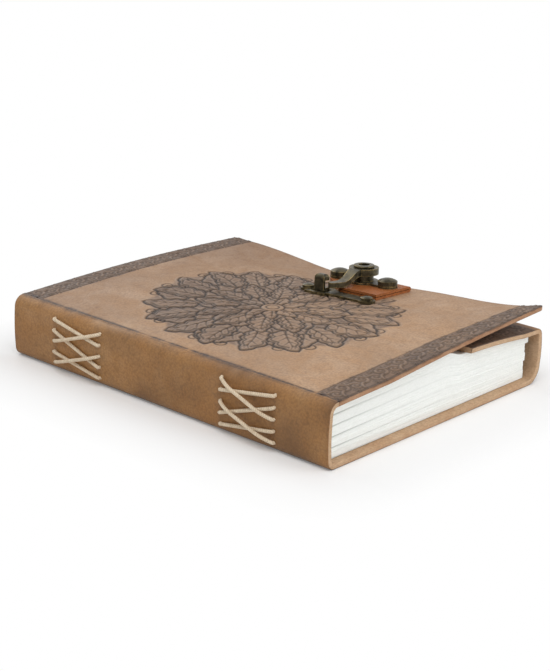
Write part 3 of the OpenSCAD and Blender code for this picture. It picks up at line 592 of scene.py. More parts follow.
def paper():
    """Pages: the sheets' edges show as lines on the block's sides, with painted shade in the gaps between the
    sections, strongest towards the spine.
    """
    s = Shader("page_edges")
    lay, near = s.attr("lay"), s.attr("near")
    p = s.coord()
    run = s.add(*(s.n("SeparateXYZ", out=i, i0=p) for i in (0, 1)))
    vec = s.n("CombineXYZ", X=lay, Y=s.mul(run, 9.0), Z=0.0)
    fine = s.noise(vec, 26, 5, 0.75)
    broad = s.noise(vec, 5, 3, 0.6)
    fibres = s.noise(p, 1200, 4, 0.7)
    # the top and bottom pages have no edges to show: their near is 0
    side = s.span(near, 0.0, 0.05)
    gap_shade = s.math("POWER", s.span(s.math("PINGPONG", lay, 0.5), 0.0, 0.14, 1, 0), 1.6)
    col = s.mix(s.mul(s.span(fine, 0.4, 0.8), side), rgb(247, 249, 246), rgb(224, 228, 224))
    col = s.mix(s.mul(s.span(broad, 0.62, 0.8, 0, 0.4), side), col, rgb(204, 209, 205))
    col = s.mix(s.span(fibres, 0.45, 0.8, 0, 0.35), col, rgb(226, 227, 220))
    # painted shade between the sections, by near
    col = s.mix(s.mul(s.mul(gap_shade, near), 0.75), col, rgb(128, 134, 128))
    nrm = s.bump(s.add(s.mul(fine, side), s.mul(fibres, 0.15)), 0.5, 0.0003)
    return s.surface(Base_Color=col, Roughness=0.9, Normal=nrm, Specular_IOR_Level=0.15)


def cord_material():
    s = Shader("cord")
    f = s.noise(s.coord(), 500, 4, 0.7)
    col = s.mix(s.span(f, 0.3, 0.75), rgb(242, 227, 202), rgb(214, 192, 162))
    # painted shade in the valleys between the cord's plies
    col = s.mix(s.mul(s.attr("valley"), 0.5), col, rgb(150, 122, 92))
    return s.surface(Base_Color=col, Roughness=0.75, Normal=s.bump(f, 0.4, 0.0002), Specular_IOR_Level=0.25)


def brass():
    """Antique brass: dark patina in the flats, worn bright along the edges, and that brightness is partly a
    painted highlight.
    """
    s = Shader("antique_brass")
    p = s.coord()
    n1 = s.noise(p, 260, 5, 0.6, 0.5)
    n2 = s.noise(p, 1100, 4, 0.7)
    rounded, flat = s.n("Bevel", Radius=0.0009), s.n("NewGeometry", out=1)
    turn = s.n("VectorMath", {"operation": "DOT_PRODUCT"}, out=1, i0=rounded, i1=flat)
    edge = s.mul(s.span(turn, 0.98, 0.8), s.span(n1, 0.38, 0.62, 0.15, 1.0))
    col = s.mix(s.span(n1, 0.35, 0.65), rgb(50, 46, 34), rgb(92, 85, 66))
    col = s.mix(s.span(n2, 0.55, 0.75, 0, 0.5), col, rgb(120, 104, 70))
    # worn brass along the edges, partly a painted highlight
    col = s.mix(s.mul(edge, 0.62), col, rgb(202, 172, 104))
    rough = s.span(n1, 0.3, 0.7, 0.28, 0.5)
    return s.surface(Base_Color=col, Metallic=0.85, Roughness=rough, Normal=s.bump(n2, 0.25, 0.0001))


MAT = {
    "cover": leather("cover_leather", light=rgb(192, 158, 126), mid=rgb(166, 134, 104), dark=rgb(118, 88, 66),
                     warm=rgb(180, 136, 94), deep=rgb(104, 74, 52), art=True),
    "wrap": leather("wrap_leather", light=rgb(177, 133, 84), mid=rgb(151, 109, 65), dark=rgb(98, 70, 43),
                    warm=rgb(168, 116, 62), deep=rgb(92, 64, 40), art=True),
    "tab": leather("tab_leather", light=rgb(162, 96, 46), mid=rgb(142, 80, 36), dark=rgb(92, 52, 26),
                   warm=rgb(158, 86, 36)),
    "raw": raw_leather("raw_edge", rgb(184, 146, 116), rgb(162, 120, 90)),
    "raw_light": raw_leather("raw_flesh", rgb(206, 176, 144), rgb(192, 156, 122)),
    "paper": paper(),
    "cord": cord_material(),
    "brass": brass(),
}
# what the grain side's material reads, and the cut edges'
GRAIN, RAW = ("line", "ridge", "stain", "burn", "wear", "age"), ("burn",)


def ragged(y):
    """How heavy the burnt crease line is along the book."""
    return noise2(y * 0, y, 5, 9) + 0.8 * noise2(y * 0, y, 17, 4) + 0.7 * noise2(y * 0, y, 2, 14)


def crease_line(off, y):
    """Burnt line along the crease, at a distance across it. It is heavier towards the head."""
    r = ragged(y)
    heavy = smooth((y - 95) / 70) * 0.35
    return gauss(off, 1.0 + 0.75 * r + heavy) * np.clip(1.35 + 1.7 * r + heavy, 0, 1)


# The front cover: its rolled border's width, how deep the skin lies in the solid's, and the finer
# patch that carries the rosette
INSET, SKIN_DEEP = 0.35, 0.08
PATCH_X, PATCH_Y, PATCH_N = (11.5, 121.5), (32.0, 148.0), (309, 312)
SKIN_COLS, BAND_ROWS_Y = 330, 13.2


def skin(X, Y):
    """Grain side of the front cover: places, and the values that its material reads."""
    h, line, ridge, stain = (sample(a, X, Y) for a in (ART.h, ART.line, ART.ridge, ART.stain))
    edge = np.minimum(np.minimum(Y, BOOK_L - Y), fore_edge(Y) - X)
    waves = 0.12 * noise2(X, Y, 22, 1) + 0.05 * noise2(X, Y, 6, 2)
    tooling = np.clip(h * smooth(edge / 0.8), -0.5, 0.5) * 0.8
    Z = cover_top(X, Y) + tooling + waves * smooth((X - START_X) / 8) - SKIN_DEEP
    rim = 0.75 * np.exp(-edge / 0.7) * (0.7 + noise2(X, Y, 4, 11))
    burn = np.clip(np.clip(crease_line(X - START_X, Y), 0, 1) + np.clip(rim, 0, 1), 0, 1)
    wear = np.clip(noise2(X, Y, 9, 21) * 3.0 - 0.7, 0, 1) * np.exp(-(X - START_X) / 4)
    # darker towards the head and the fore edge, and in patches
    age = 0.4 * smooth((Y - 85) / 85) + 0.22 * smooth((X - 85) / 40)
    age = age + 0.5 * noise2(X, Y, 30, 17) * noise2(X, Y, 13, 18) + 0.16 * noise2(X, Y, 21, 19)
    at = dict(line=line, ridge=ridge, stain=stain, burn=burn, wear=wear, age=np.clip(age, 0, 0.6))
    return np.stack([X, Y, pressed(X, Y, Z)], -1), at


def across(Y, n):
    """n places across the cover, from the crease to its rolled border."""
    return START_X + (fore_edge(Y) - INSET - START_X) * np.linspace(0, 1, n)[None, :]


def outward(p, out, dz):
    """A closed ring of points moved outwards and up. The side at the crease isn't moved out."""
    t = np.roll(p, -1, 0) - np.roll(p, 1, 0)
    nrm = np.stack([t[:, 1], -t[:, 0]], 1)
    nrm /= np.maximum(1e-9, np.linalg.norm(nrm, axis=1))[:, None]
    q = p.copy()
    q[:, :2] += nrm * (out if np.isscalar(out) else out[:, None])
    q[:, 0] = np.where(np.abs(p[:, 0] - START_X) < 0.02, p[:, 0], q[:, 0])
    q[:, 2] += dz
    return q


def border(g):
    """The border of a grid as one closed ring of points."""
    return np.concatenate([g[0, :-1], g[:-1, -1], g[-1, :0:-1], g[:0:-1, 0]])


def cut_slot(ob):
    """Open the slot that the catch post stands in."""
    mid = row([CLASP_X + POST[0], CLASP_Y + POST[1], 0])
    lo, hi = ([mid[i] + sgn * SLOT_HALF[i] / 1000 for i in (0, 1)] for sgn in (-1, 1))
    bm = bmesh.new()
    bm.from_mesh(ob.data)

    def faces(room):
        inside = lambda c: all(lo[i] - room < c[i] < hi[i] + room for i in (0, 1))
        return [f for f in bm.faces if inside(f.calc_center_median())]

    for i in (0, 1):
        for bound in (lo[i], hi[i]):
            near = faces(0.002)
            parts = near + list({e for f in near for e in f.edges}) + list({v for f in near for v in f.verts})
            axis = Vector((1 - i, i, 0))
            bmesh.ops.bisect_plane(bm, geom=parts, dist=1e-7, plane_co=axis * bound, plane_no=axis)
    bmesh.ops.delete(bm, geom=faces(0.0), context="FACES")
    bm.to_mesh(ob.data)
    bm.free()


def build_skin():
    """Grain side round the rosette's patch, with its rolled border."""
    tail = np.concatenate([np.linspace(INSET, BAND_ROWS_Y, 36), np.linspace(BAND_ROWS_Y, PATCH_Y[0], 20)[1:]])
    head = BOOK_L - tail[::-1]
    mid = np.linspace(*PATCH_Y, 157)
    b = Builder(GRAIN)
    for ys in (tail, head):
        Y = np.repeat(ys[:, None], SKIN_COLS, 1)
        top, at = skin(across(Y, SKIN_COLS), Y)
        b.grid(top, **at)
    for left, n in ((True, 15), (False, 30)):
        Y = np.repeat(mid[:, None], n, 1)
        x0 = np.full(Y.shape, START_X if left else PATCH_X[1])
        x1 = np.full(Y.shape, PATCH_X[0]) if left else fore_edge(Y) - INSET
        top, at = skin(x0 + (x1 - x0) * np.linspace(0, 1, n)[None, :], Y)
        b.grid(top, **at)
    ys = np.concatenate([tail, mid[1:-1], head])
    xt, xh = (across(np.full((1, SKIN_COLS), y), SKIN_COLS)[0] for y in (ys[0], ys[-1]))
    yt, yh = (np.full(SKIN_COLS, y) for y in (ys[0], ys[-1]))
    X = np.concatenate([xt[:-1], (fore_edge(ys) - INSET)[:-1], xh[:0:-1], np.full(len(ys) - 1, START_X)])
    Y = np.concatenate([yt[:-1], ys[:-1], yh[:0:-1], ys[:0:-1]])
    ring_p, at = skin(X, Y)
    roll = np.stack([ring_p, outward(ring_p, 0.22, -0.08), outward(ring_p, INSET, -0.3)])
    b.grid(roll, flip=True, closed=True, **{k: np.repeat(v[None], 3, 0) for k, v in at.items()})
    ob = b.done("cover_top")
    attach(ob, "cover")
    finish(ob, MAT["cover"])
    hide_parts("front_cover")


def build_patch():
    """Grain side that carries the rosette, in a finer grid."""
    top, at = skin(*np.meshgrid(*(np.linspace(*side, n) for side, n in zip((PATCH_X, PATCH_Y), PATCH_N))))
    b = Builder(GRAIN)
    b.grid(top, **at)
    art = b.done("cover_medallion")
    cut_slot(art)
    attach(art, "cover")
    finish(art, MAT["cover"])


def build_flesh():
    """Flesh side, sunk over the rivets' tails, and the cut edge, burnished towards the grain side."""
    nx, ny = 180, 240
    Y = np.repeat(np.linspace(INSET, BOOK_L - INSET, ny)[:, None], nx, 1)
    X = across(Y, nx)
    Z = cover_top(X, Y) - T + 0.06 * noise2(X, Y, 5, 31)
    for u, v in RIVETS:
        deep = smooth((RIVET_SINK_R - np.hypot(X - CLASP_X - u, Y - CLASP_Y - v)) / 0.5)
        Z += deep * np.maximum(0, clasp_plane(X, Y) - T + RIVET_SINK - Z)
    low = np.stack([X, Y, Z], -1)
    lo_r, hi_r = border(low), border(np.stack([X, Y, cover_top(X, Y)], -1))
    k = np.arange(len(lo_r)) * 0.5
    rows, dark = [], []
    for f, out in ((0.12, 1), (0.3, 1), (0.5, 1), (0.7, 1), (0.88, 0.8), (0.97, 0.4), (1.0, 0)):
        uneven = 0.16 * noise2(k, k * 0 + f * 9, 1.7, 8) if f < 1 else 0
        rows.append(outward(hi_r * (1 - f) + lo_r * f, INSET * out + uneven - SKIN_DEEP, 0.0))
        dark.append(np.clip(1.0 - f / 0.42 + 0.9 * noise2(k, k * 0.0, 2.3, 15), 0, 1))
    b = Builder(RAW)
    b.grid(np.stack(rows), flip=True, closed=True, burn=np.stack(dark))
    b.grid(low, flip=True)
    flesh = b.done("cover_flesh")
    cut_slot(flesh)
    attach(flesh, "cover")
    finish(flesh, MAT["raw"])


def build_slot():
    """The slot's four walls, from the grain side to the flesh side."""
    t = np.linspace(-1, 1, 9)[:-1]
    sx, sy = SLOT_HALF
    u = np.concatenate([t * sx, t * 0 + sx, -t * sx, t * 0 - sx]) + CLASP_X + POST[0]
    v = np.concatenate([t * 0 - sy, t * sy, t * 0 + sy, -t * sy]) + CLASP_Y + POST[1]
    top = pressed(u, v, cover_top(u, v) - SKIN_DEEP)
    rows = [np.stack([u, v, top * (1 - f) + (cover_top(u, v) - T) * f], -1) for f in np.linspace(0, 1, 5)]
    b = Builder(RAW)
    b.grid(np.stack(rows), closed=True, burn=0.35)
    walls = b.done("cover_slot")
    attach(walls, "cover")
    finish(walls, MAT["raw"])


# The wrap: points along the flap in its section, and where the two laced groups start and end
FLAP_POINTS = 99
LACED = {"tail_lacing": (27.0, 55.0), "head_lacing": (153.0, 125.0)}
# length along the section from the crease to where the spine's foot meets the table
FOOT_AT = 31.5


def spine_face(z):
    """Outside of the spine at a height."""
    z = np.asarray(z, float)
    top = END_X - np.sqrt(np.maximum(0, SPINE_R ** 2 - (z - SPINE_Z) ** 2))
    foot = SPINE_X + FOOT_R - np.sqrt(np.maximum(0, FOOT_R ** 2 - (z - FOOT_R) ** 2))
    mid = SPINE_X - SPINE_BELLY * (1 - ((2 * z - FOOT_R - SPINE_Z) / (SPINE_Z - FOOT_R)) ** 2)
    return np.where(z > SPINE_Z, top, np.where(z < FOOT_R, foot, mid))


def arc(cx, cz, r, a0, a1, n):
    a = np.radians(np.linspace(a0, a1, n))
    return np.stack([cx + r * np.cos(a), cz + r * np.sin(a)], 1)


def wrap_path(y):
    """Outside of the wrap in a section across the book, from the crease round to the flap's edge."""
    top_x = WALL_X - WALL_TOP_R
    cz = float(flap_top(np.array(top_x), np.array(y))) - WALL_TOP_R
    spine = np.linspace(SPINE_Z, FOOT_R, 26)[1:-1]
    back = np.linspace(SPINE_X + FOOT_R, WALL_X - WALL_FOOT_R, 50)[1:-1]
    wall = np.linspace(WALL_FOOT_R, cz, 16)[1:-1]
    bulge = WALL_BULGE * (1 - ((2 * wall - WALL_FOOT_R - cz) / (cz - WALL_FOOT_R)) ** 2)
    flap = np.linspace(top_x, FLAP_X, FLAP_POINTS + 1)[1:]
    return np.vstack([
        arc(END_X, SPINE_Z, SPINE_R, 90, 180, 14),
        np.stack([spine_face(spine), spine], 1),
        arc(SPINE_X + FOOT_R, FOOT_R, FOOT_R, 180, 270, 10),
        np.stack([back, back * 0], 1),
        arc(WALL_X - WALL_FOOT_R, WALL_FOOT_R, WALL_FOOT_R, 270, 360, 14),
        np.stack([WALL_X + bulge, wall], 1),
        arc(top_x, cz, WALL_TOP_R, 0, 90, 10),
        np.stack([flap, flap_top(flap, np.full(flap.shape, y))], 1)])


def inward(path, t):
    """The path moved towards the pages by t."""
    d = np.vstack([path[1:], path[-1:]]) - np.vstack([path[:1], path[:-1]])
    d /= np.linalg.norm(d, axis=1)[:, None]
    return path + t * np.stack([-d[:, 1], d[:, 0]], 1)


def wrap_end(ys, j, outer, mid, inner, steps, uneven):
    """Rows round the wrap's cut end at the tail or the head. A step is how far from the middle of
    the hide it lies, towards the outside if above 0, and how far it stands out. uneven adds to that."""
    sgn = 1 if j else -1
    rows = []
    for f, dy in steps:
        q = mid[j] + ((outer if f > 0 else inner)[j] - mid[j]) * abs(f)
        at = ys[j] + sgn * (dy + uneven(f))
        rows.append(np.stack(np.broadcast_arrays(q[:, 0], at, q[:, 1]), -1))
    return np.stack(rows)


def build_wrap():
    """Spine, back cover, fore-edge wall and flap: the grain side, then the flesh side and cut edges."""
    edges = np.linspace(INSET, 13, 24)
    ys = np.concatenate([edges, np.linspace(13, 167, 110)[1:-1], BOOK_L - edges[::-1]])
    path = np.stack([wrap_path(y) for y in ys])
    n = path.shape[1]
    Y = np.repeat(ys[:, None], n, 1)
    X, Z = path[..., 0], path[..., 1]
    run = np.concatenate([[0], np.cumsum(np.linalg.norm(np.diff(path[0], axis=0), axis=1))])
    A = np.repeat(run[None, :], len(ys), 0)
    from_end = np.minimum(Y, BOOK_L - Y)

    # the flap carries the border, and the skin lies in the solid's by its waves and tooling
    on_flap = (np.arange(n) >= n - FLAP_POINTS)[None, :]
    band = smooth((BAND_W - from_end) / 1.2) * smooth((X - 134) / -3) * on_flap
    h, line, ridge = (sample(a, np.clip(X, 0, 139), Y) * band for a in (ART.h, ART.line, ART.ridge))
    waves = 0.09 * noise2(A, Y, 16, 41) + 0.04 * noise2(A, Y, 4, 42)
    off = (waves + 0.05 - 0.7 * np.clip(h, -0.5, 0.5)) * np.where(np.abs(Z) < 0.5, 0.15, 1)
    unit = np.stack([inward(p, 1.0) - p for p in path])
    outer = path + unit * np.maximum(off, 0.0)[..., None]
    mid = np.stack([inward(p, T / 2) for p in path])
    inner = np.stack([inward(p, T) for p in path])

    # burnt along the crease and the cut ends; painted contact shadow along the foot, where the spine meets
    # the table, and painted shade where the cords go into the spine
    # painted shade where the cords go into the spine
    hole_shade = sum(gauss(Y - y, 1.6) for group in LACED.values() for y in group)
    hole_shade = hole_shade * smooth((26 - A) / 2) * smooth((A - 4) / 2) * 0.5
    # painted contact shadow along the foot of the spine
    foot = 1.1 * gauss(A - FOOT_AT, 2.5) * (0.6 + noise2(A, Y, 12, 5))
    burn = np.clip(crease_line(A, Y), 0, 1) + foot + 0.27 * np.exp(-from_end / 0.9) + hole_shade * 0.4
    wear = np.clip(noise2(A, Y, 10, 22) * 3.2 - 0.6, 0, 1) * np.exp(-A / 5) * 0.8
    # darker in patches, and more from the lower spine onwards round the wrap
    age = 0.1 + 0.9 * noise2(A, Y, 24, 43) + 0.5 * noise2(A, Y, 9, 44) + 0.3 * smooth((A - 16) / 14)
    burn, age = np.clip(burn, 0, 1), np.clip(age, 0, 0.7)
    at = dict(line=line, ridge=ridge, stain=band, burn=burn, wear=wear, age=age)

    b = Builder(GRAIN)
    b.grid(np.stack([outer[..., 0], Y, outer[..., 1]], -1), flip=True, **at)
    for j in (0, len(ys) - 1):
        rows = wrap_end(ys, j, outer, mid, inner, ((1.0, 0.0), (0.9, 0.2), (0.74, 0.33)), lambda f: 0)
        b.grid(rows, flip=j > 0, **{k: np.repeat(v[j][None], 3, 0) for k, v in at.items()})
    ob = b.done("wrap_grain")
    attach(ob, "journal")
    finish(ob, MAT["wrap"])
    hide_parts("cover_wrap")

    b = Builder(RAW)
    every_other = np.unique(np.concatenate([np.arange(0, len(ys), 2), [len(ys) - 1]]))
    b.grid(np.stack([inner[..., 0], Y, inner[..., 1]], -1)[every_other])
    uneven = lambda f: 0.14 * noise2(run, run * 0 + f * 7, 0.9, 13) - 0.05
    steps = ((0.74, 0.31), (0.4, 0.34), (0.0, 0.35), (-0.4, 0.34), (-0.75, 0.3), (-0.93, 0.15), (-1.0, 0.0))
    for j in (0, len(ys) - 1):
        rows = wrap_end(ys, j, outer, mid, inner, steps, uneven)
        b.grid(rows, flip=j > 0)
    for i, flip, burn in ((n - 1, False, 0.15), (0, True, 0.5)):
        cut = [outer[:, i] * (1 - f) + inner[:, i] * f for f in np.linspace(0, 1, 6)]
        b.grid(np.stack([np.stack([q[:, 0], ys, q[:, 1]], -1) for q in cut]), flip=flip, burn=burn)
    ob2 = b.done("wrap_flesh")
    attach(ob2, "journal")
    finish(ob2, MAT["raw_light"])


# The pages: sections, how far each reaches past the shortest as a share, and the block's ends
SECTIONS = 5
REACH, REACH_D, SHORTEST_X = np.array([0.1, 0, 0.35, 0.15, 1]), 2.6, 130.4
PAGE_BASE, PAGE_INSET = T + GAP, 3.5


def fore_page(lay, y):
    """Fore edge of the pages. lay counts the sections from the back cover up."""
    base = SHORTEST_X + REACH_D * REACH[np.clip(lay.astype(int), 0, SECTIONS - 1)]
    between = np.exp(-np.abs(lay - np.round(lay)) / 0.04)
    return base + 0.25 * noise2(lay * 14, y * 0.02, 1.0, 61) - 0.3 * between


def back_page(lay):
    """Folds of the sections at the spine."""
    u = np.abs(2 * (lay - np.floor(np.minimum(lay, SECTIONS - 0.0001))) - 1)
    return 1.85 + 2.2 * (1 - np.sqrt(np.maximum(0, 1 - u ** 2.6)))


def page_point(x, y, lay):
    return np.stack([x, y, PAGE_BASE + (page_top(x, y) - PAGE_BASE) * lay / SECTIONS], -1)


def build_pages():
    b = Builder(("lay", "near"))
    lays = np.linspace(0, SECTIONS, 181)
    for y, flip in ((PAGE_INSET, True), (BOOK_L - PAGE_INSET, False)):
        L, S = np.meshgrid(lays, np.linspace(0, 1, 110) ** 1.25, indexing="ij")
        x0, x1 = back_page(L), fore_page(L, np.full(L.shape, y))
        p = page_point(x0 + (x1 - x0) * S, np.full(L.shape, y), L)
        X = p[..., 0]
        sunk = 0.22 * (noise2(L * 11, X * 0.02, 1.0, 71) + 0.5)
        sunk += 0.5 * np.exp(-np.abs(L - np.round(L)) / 0.03) * np.exp(-X / 60)
        p[..., 1] += sunk if flip else -sunk
        # near: how much an end shows the page lines and the painted shade between sections, more towards the
        # spine
        b.grid(p, flip=not flip, lay=L, near=np.exp(-X / 24) + 0.07)
    ys = np.linspace(PAGE_INSET + 0.1, BOOK_L - PAGE_INSET - 0.1, 90)
    L, Y = np.meshgrid(lays, ys, indexing="ij")
    for x, flip in ((fore_page(L, Y), True), (back_page(L), False)):
        b.grid(page_point(x, Y, L), flip=flip, lay=L, near=0.5)
    S, Y = np.meshgrid(np.linspace(0, 1, 110), ys, indexing="ij")
    for lay, flip in ((0.0, False), (float(SECTIONS), True)):
        L = np.full(S.shape, lay)
        x0, x1 = back_page(L), fore_page(L, Y)
        b.grid(page_point(x0 + (x1 - x0) * S, Y, L), flip=flip, lay=lay + 0.25, near=0.0)
    ob = b.done("pages")
    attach(ob, "journal")
    finish(ob, MAT["paper"])
    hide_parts("page_block")


# The lacing: the cord's thickness, the section that each run goes to, and whether it passes over
CORD, FOLD_X = 1.6, 5.2
TO = [2, 0, 4, 1, 3]
OVER = [True, False, True, False, False]


def section_z(k):
    """Height of the middle of a section at the spine."""
    return PAGE_BASE + (HINGE_Z - T - GAP - PAGE_BASE) * (k + 0.5) / SECTIONS


def hole_z(k):
    """Height of a section's hole in the spine, a little wider apart than the sections."""
    mid = (section_z(0) + section_z(SECTIONS - 1)) / 2
    return mid + (section_z(k) - mid) * 1.1


def stitch_points(k, ya, yb):
    """One run of cord: out of its section at ya, across the spine, and into the next at yb."""
    j = TO[k]
    za, zb = hole_z(k), hole_z(j)
    way = 1 if yb > ya else -1
    lead = 0.6 / abs(yb - ya)

    def on(s, rise):
        z = za + (zb - za) * s
        return [float(spine_face(z)) - CORD / 2 - 0.1 - rise, ya + (yb - ya) * s, z]

    def hole(section, y, z, inwards):
        face = float(spine_face(z))
        return [[FOLD_X, y, section_z(section)], [face + 1.2, y, z], [face - 0.25, y + 0.1 * inwards, z]]

    over = [(0.12, 0.6), (0.25, 1), (0.48, 1), (0.75, 1), (0.88, 0.6)]
    under = [(0.25, 0), (0.5, 0), (0.75, 0)]
    middle = [on(s, r * (CORD + 0.1)) for s, r in (over if OVER[k] else under)]
    return np.array(hole(k, ya, za, way) + [on(lead, -0.05)] + middle + [on(1 - lead, -0.05)]
                    + hole(j, yb, zb, -way)[::-1])


def resample(pts, step):
    """Catmull-Rom through the points at an even step, and the length up to each."""
    p = np.vstack([2 * pts[0] - pts[1], pts, 2 * pts[-1] - pts[-2]])
    t = np.linspace(0, 1, 13)[:-1, None]
    out = []
    for a, b, c, d in zip(p, p[1:], p[2:], p[3:]):
        bent = (2 * a - 5 * b + 4 * c - d) * t ** 2 + (3 * b - a - 3 * c + d) * t ** 3
        out.append(0.5 * (2 * b + (c - a) * t + bent))
    q = np.vstack(out + [pts[-1:]])
    s = np.concatenate([[0], np.cumsum(np.linalg.norm(np.diff(q, axis=0), axis=1))])
    u = np.linspace(0, s[-1], max(8, int(s[-1] / step)))
    return np.stack([np.interp(u, s, q[:, k]) for k in range(3)], 1), u


def cord_tube(b, pts, sides=14, step=0.45, twist=2.2, hollow=0.09):
    """A twisted cord of three plies along the points."""
    q, u = resample(pts, step)
    t = np.gradient(q, axis=0)
    t /= np.linalg.norm(t, axis=1)[:, None]
    s = np.cross(t, np.array([0.0, 0.0, 1.0]))
    s /= np.maximum(1e-6, np.linalg.norm(s, axis=1))[:, None]
    up = np.cross(s, t)
    a = 2 * np.pi * np.arange(sides) / sides
    ply = np.cos(3 * (a[None, :] + u[:, None] * twist))
    rad = CORD / 2 * (1 - hollow + hollow * ply)
    side = np.cos(a)[None, :, None] * s[:, None, :] + np.sin(a)[None, :, None] * up[:, None, :]
    # how deep each point lies between the plies, for the painted shade there
    valley = np.clip(0.5 - 0.5 * ply, 0, 1) ** 2
    b.grid(q[:, None, :] + rad[..., None] * side, closed=True, flip=True, valley=valley)


def build_lacing(name):
    b = Builder(("valley",))
    for k in range(SECTIONS):
        cord_tube(b, stitch_points(k, *LACED[name]))
    ob = b.done(name + "_cord")
    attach(ob, "journal")
    finish(ob, MAT["cord"])
    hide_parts(name)


# The crease strip lies over the gap between wrap and cover and follows the cover's surface
CREASE_FROM, CREASE_TO = 3.3, 5.4


def build_crease():
    X, Y = np.meshgrid(np.linspace(CREASE_FROM, CREASE_TO, 12), np.linspace(0.3, BOOK_L - 0.3, 400))
    spine = SPINE_Z + np.sqrt(np.maximum(0, SPINE_R ** 2 - (X - END_X) ** 2))
    top = np.where(X < END_X, spine, cover_top(X, Y))
    high = top - 0.03 + 0.05 * np.sin(np.pi * (X - CREASE_FROM) / (CREASE_TO - CREASE_FROM))
    high, low = np.stack([X, Y, high], -1), np.stack([X, Y, top - T + 0.2], -1)
    b = Builder(GRAIN)
    b.grid(high, burn=crease_line(X - START_X, Y), wear=0.2)
    b.grid(low, flip=True, burn=0.3)
    for i, flip in ((0, True), (-1, False)):
        b.grid(np.stack([high[:, i], low[:, i]]), flip=flip, burn=0.3)
    ob = b.done("crease_strip")
    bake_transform(ob)
    finish(ob, MAT["wrap"])


def rounded_edges(ob, width):
    m = ob.modifiers.new("edges", "BEVEL")
    m.width, m.segments, m.limit_method, m.angle_limit = width, 2, "ANGLE", math.radians(40)


build_skin()
build_patch()
build_flesh()
build_slot()
build_wrap()
build_pages()
for name in LACED:
    build_lacing(name)
build_crease()
for name in ("catch_post", "post_washer", "hasp_plate", "hasp_rivet_tail", "hasp_rivet_head", "hook_plate",
             "tab_rivet_tail", "tab_rivet_head", "pivot_eyelet", "swing_hook"):
    finish(NODES[name], MAT["brass"])
    rounded_edges(NODES[name], 0.00022)
finish(NODES["clasp_tab"], MAT["tab"])
rounded_edges(NODES["clasp_tab"], 0.00025)

# Floor, light and camera, in metres
FLOOR_HALF, BOOK_HALF = 3.0, (0.072, 0.09)
LAMPS = {
    "key": ((-0.4, -0.35, 0.8), (0.7, 0.7), 3.9),
    "fill": ((0.4, -0.75, 0.35), (0.8, 0.5), 3.0),
    "back": ((0.1, 0.8, 0.6), (0.9, 0.5), 2.8),
}
WORLD_LIGHT = 0.4
# the camera in millimetres, degrees and pixels of the 671 pixel high frame, fitted to the photograph
FRAME_PX, FOCAL_PX, DISTANCE = 671, 1700.0, 737.6
PITCH_DEG, YAW_DEG, ROLL_DEG = 19.003, 48.19, -1.506
AIM, AIM_RIGHT, AIM_UP = (70, 90, 0), 1.001, -13.729


def floor():
    """A pale floor that keeps its shadow near the book and fades to white away from it."""
    me = bpy.data.meshes.new("floor")
    r = FLOOR_HALF
    me.from_pydata([(-r, -r, 0), (r, -r, 0), (r, r, 0), (-r, r, 0)], [], [(0, 1, 2, 3)])
    ob = bpy.data.objects.new("floor", me)
    bpy.context.scene.collection.objects.link(ob)
    ob.location.z = -0.00002
    s = Shader("floor")
    pos = s.n("NewGeometry", out=0)
    away = [s.math("ABSOLUTE", s.n("SeparateXYZ", out=i, i0=pos)) for i in (0, 1)]
    away = [s.math("MAXIMUM", s.math("SUBTRACT", v, half), 0.0) for v, half in zip(away, BOOK_HALF)]
    d = s.math("SQRT", s.add(*(s.mul(v, v) for v in away)))
    rays = s.t.nodes.new("ShaderNodeLightPath").outputs
    seen = s.math("MAXIMUM", rays["Is Camera Ray"], rays["Is Glossy Ray"])
    seen = s.math("MAXIMUM", seen, rays["Is Transmission Ray"])
    pale = s.n("BsdfDiffuse", Color=(0.94, 0.94, 0.94))
    white = s.n("Emission", Color=(1, 1, 1), Strength=1.0)
    fade = s.mul(s.span(d, 0.0, 0.04, 0.12, 1.0), seen)
    s.t.links.new(s.n("MixShader", Fac=fade, i1=pale, i2=white), s.out.inputs[0])
    me.materials.append(s.mat)


def lamp(name, loc, size, power):
    """A soft rectangular lamp that faces the book."""
    d = bpy.data.lights.new(name, "AREA")
    d.shape = "RECTANGLE"
    d.size, d.size_y = size
    d.energy = power
    ob = bpy.data.objects.new(name, d)
    bpy.context.scene.collection.objects.link(ob)
    ob.location = loc
    ob.rotation_euler = (Vector((0, 0, 0.02)) - Vector(loc)).to_track_quat("-Z", "Y").to_euler()


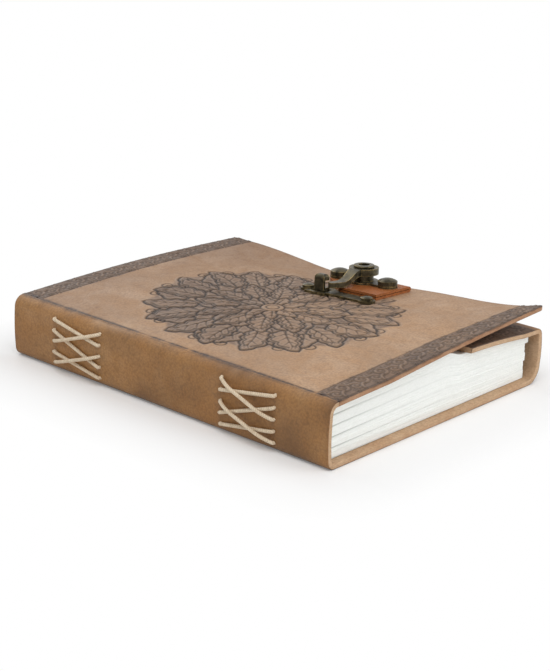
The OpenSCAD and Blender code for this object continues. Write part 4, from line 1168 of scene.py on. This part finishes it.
def world():
    """Even light, and white where the camera, glossy metal or glass sees it."""
    w = bpy.data.worlds.new("studio")
    bpy.context.scene.world = w
    w.use_nodes = True
    t = w.node_tree
    t.nodes.clear()
    node = lambda kind: t.nodes.new("ShaderNode" + kind)
    out, mix, rays = node("OutputWorld"), node("MixShader"), node("LightPath")
    for i, strength in ((1, WORLD_LIGHT), (2, 1.0)):
        bg = node("Background")
        bg.inputs[0].default_value = (1, 1, 1, 1)
        bg.inputs[1].default_value = strength
        t.links.new(bg.outputs[0], mix.inputs[i])
    seen = rays.outputs["Is Camera Ray"]
    for kind in ("Is Glossy Ray", "Is Transmission Ray"):
        either = node("Math")
        either.operation = "MAXIMUM"
        t.links.new(seen, either.inputs[0])
        t.links.new(rays.outputs[kind], either.inputs[1])
        seen = either.outputs[0]
    t.links.new(seen, mix.inputs[0])
    t.links.new(mix.outputs[0], out.inputs[0])


def camera():
    """The photograph's view: over the tail end, with the spine to the left."""
    pitch, yaw, roll = (math.radians(a) for a in (PITCH_DEG, YAW_DEG, ROLL_DEG))
    cy, sy, cp, sp = math.cos(yaw), math.sin(yaw), math.cos(pitch), math.sin(pitch)
    level, upright = Vector((cy, -sy, 0)), Vector((sy * sp, cy * sp, cp))
    ahead = Vector((sy * cp, cy * cp, -sp))
    place = Vector(AIM) - AIM_RIGHT * level - AIM_UP * upright - DISTANCE * ahead
    right = math.cos(roll) * level - math.sin(roll) * upright
    up = math.sin(roll) * level + math.cos(roll) * upright
    d = bpy.data.cameras.new("camera")
    d.sensor_width = 36
    d.lens = 36 * FOCAL_PX / FRAME_PX
    d.clip_start, d.clip_end = 0.01, 20
    ob = bpy.data.objects.new("camera", d)
    bpy.context.scene.collection.objects.link(ob)
    m = Matrix.Identity(4)
    for i, v in enumerate((right, up, -ahead, Vector(row(place)))):
        for k in range(3):
            m[k][i] = v[k]
    ob.matrix_world = m
    bpy.context.scene.camera = ob


floor()
world()
for name, (loc, size_m, power) in LAMPS.items():
    lamp(name, loc, size_m, power)
camera()
bpy.context.scene.view_settings.view_transform = "Standard"
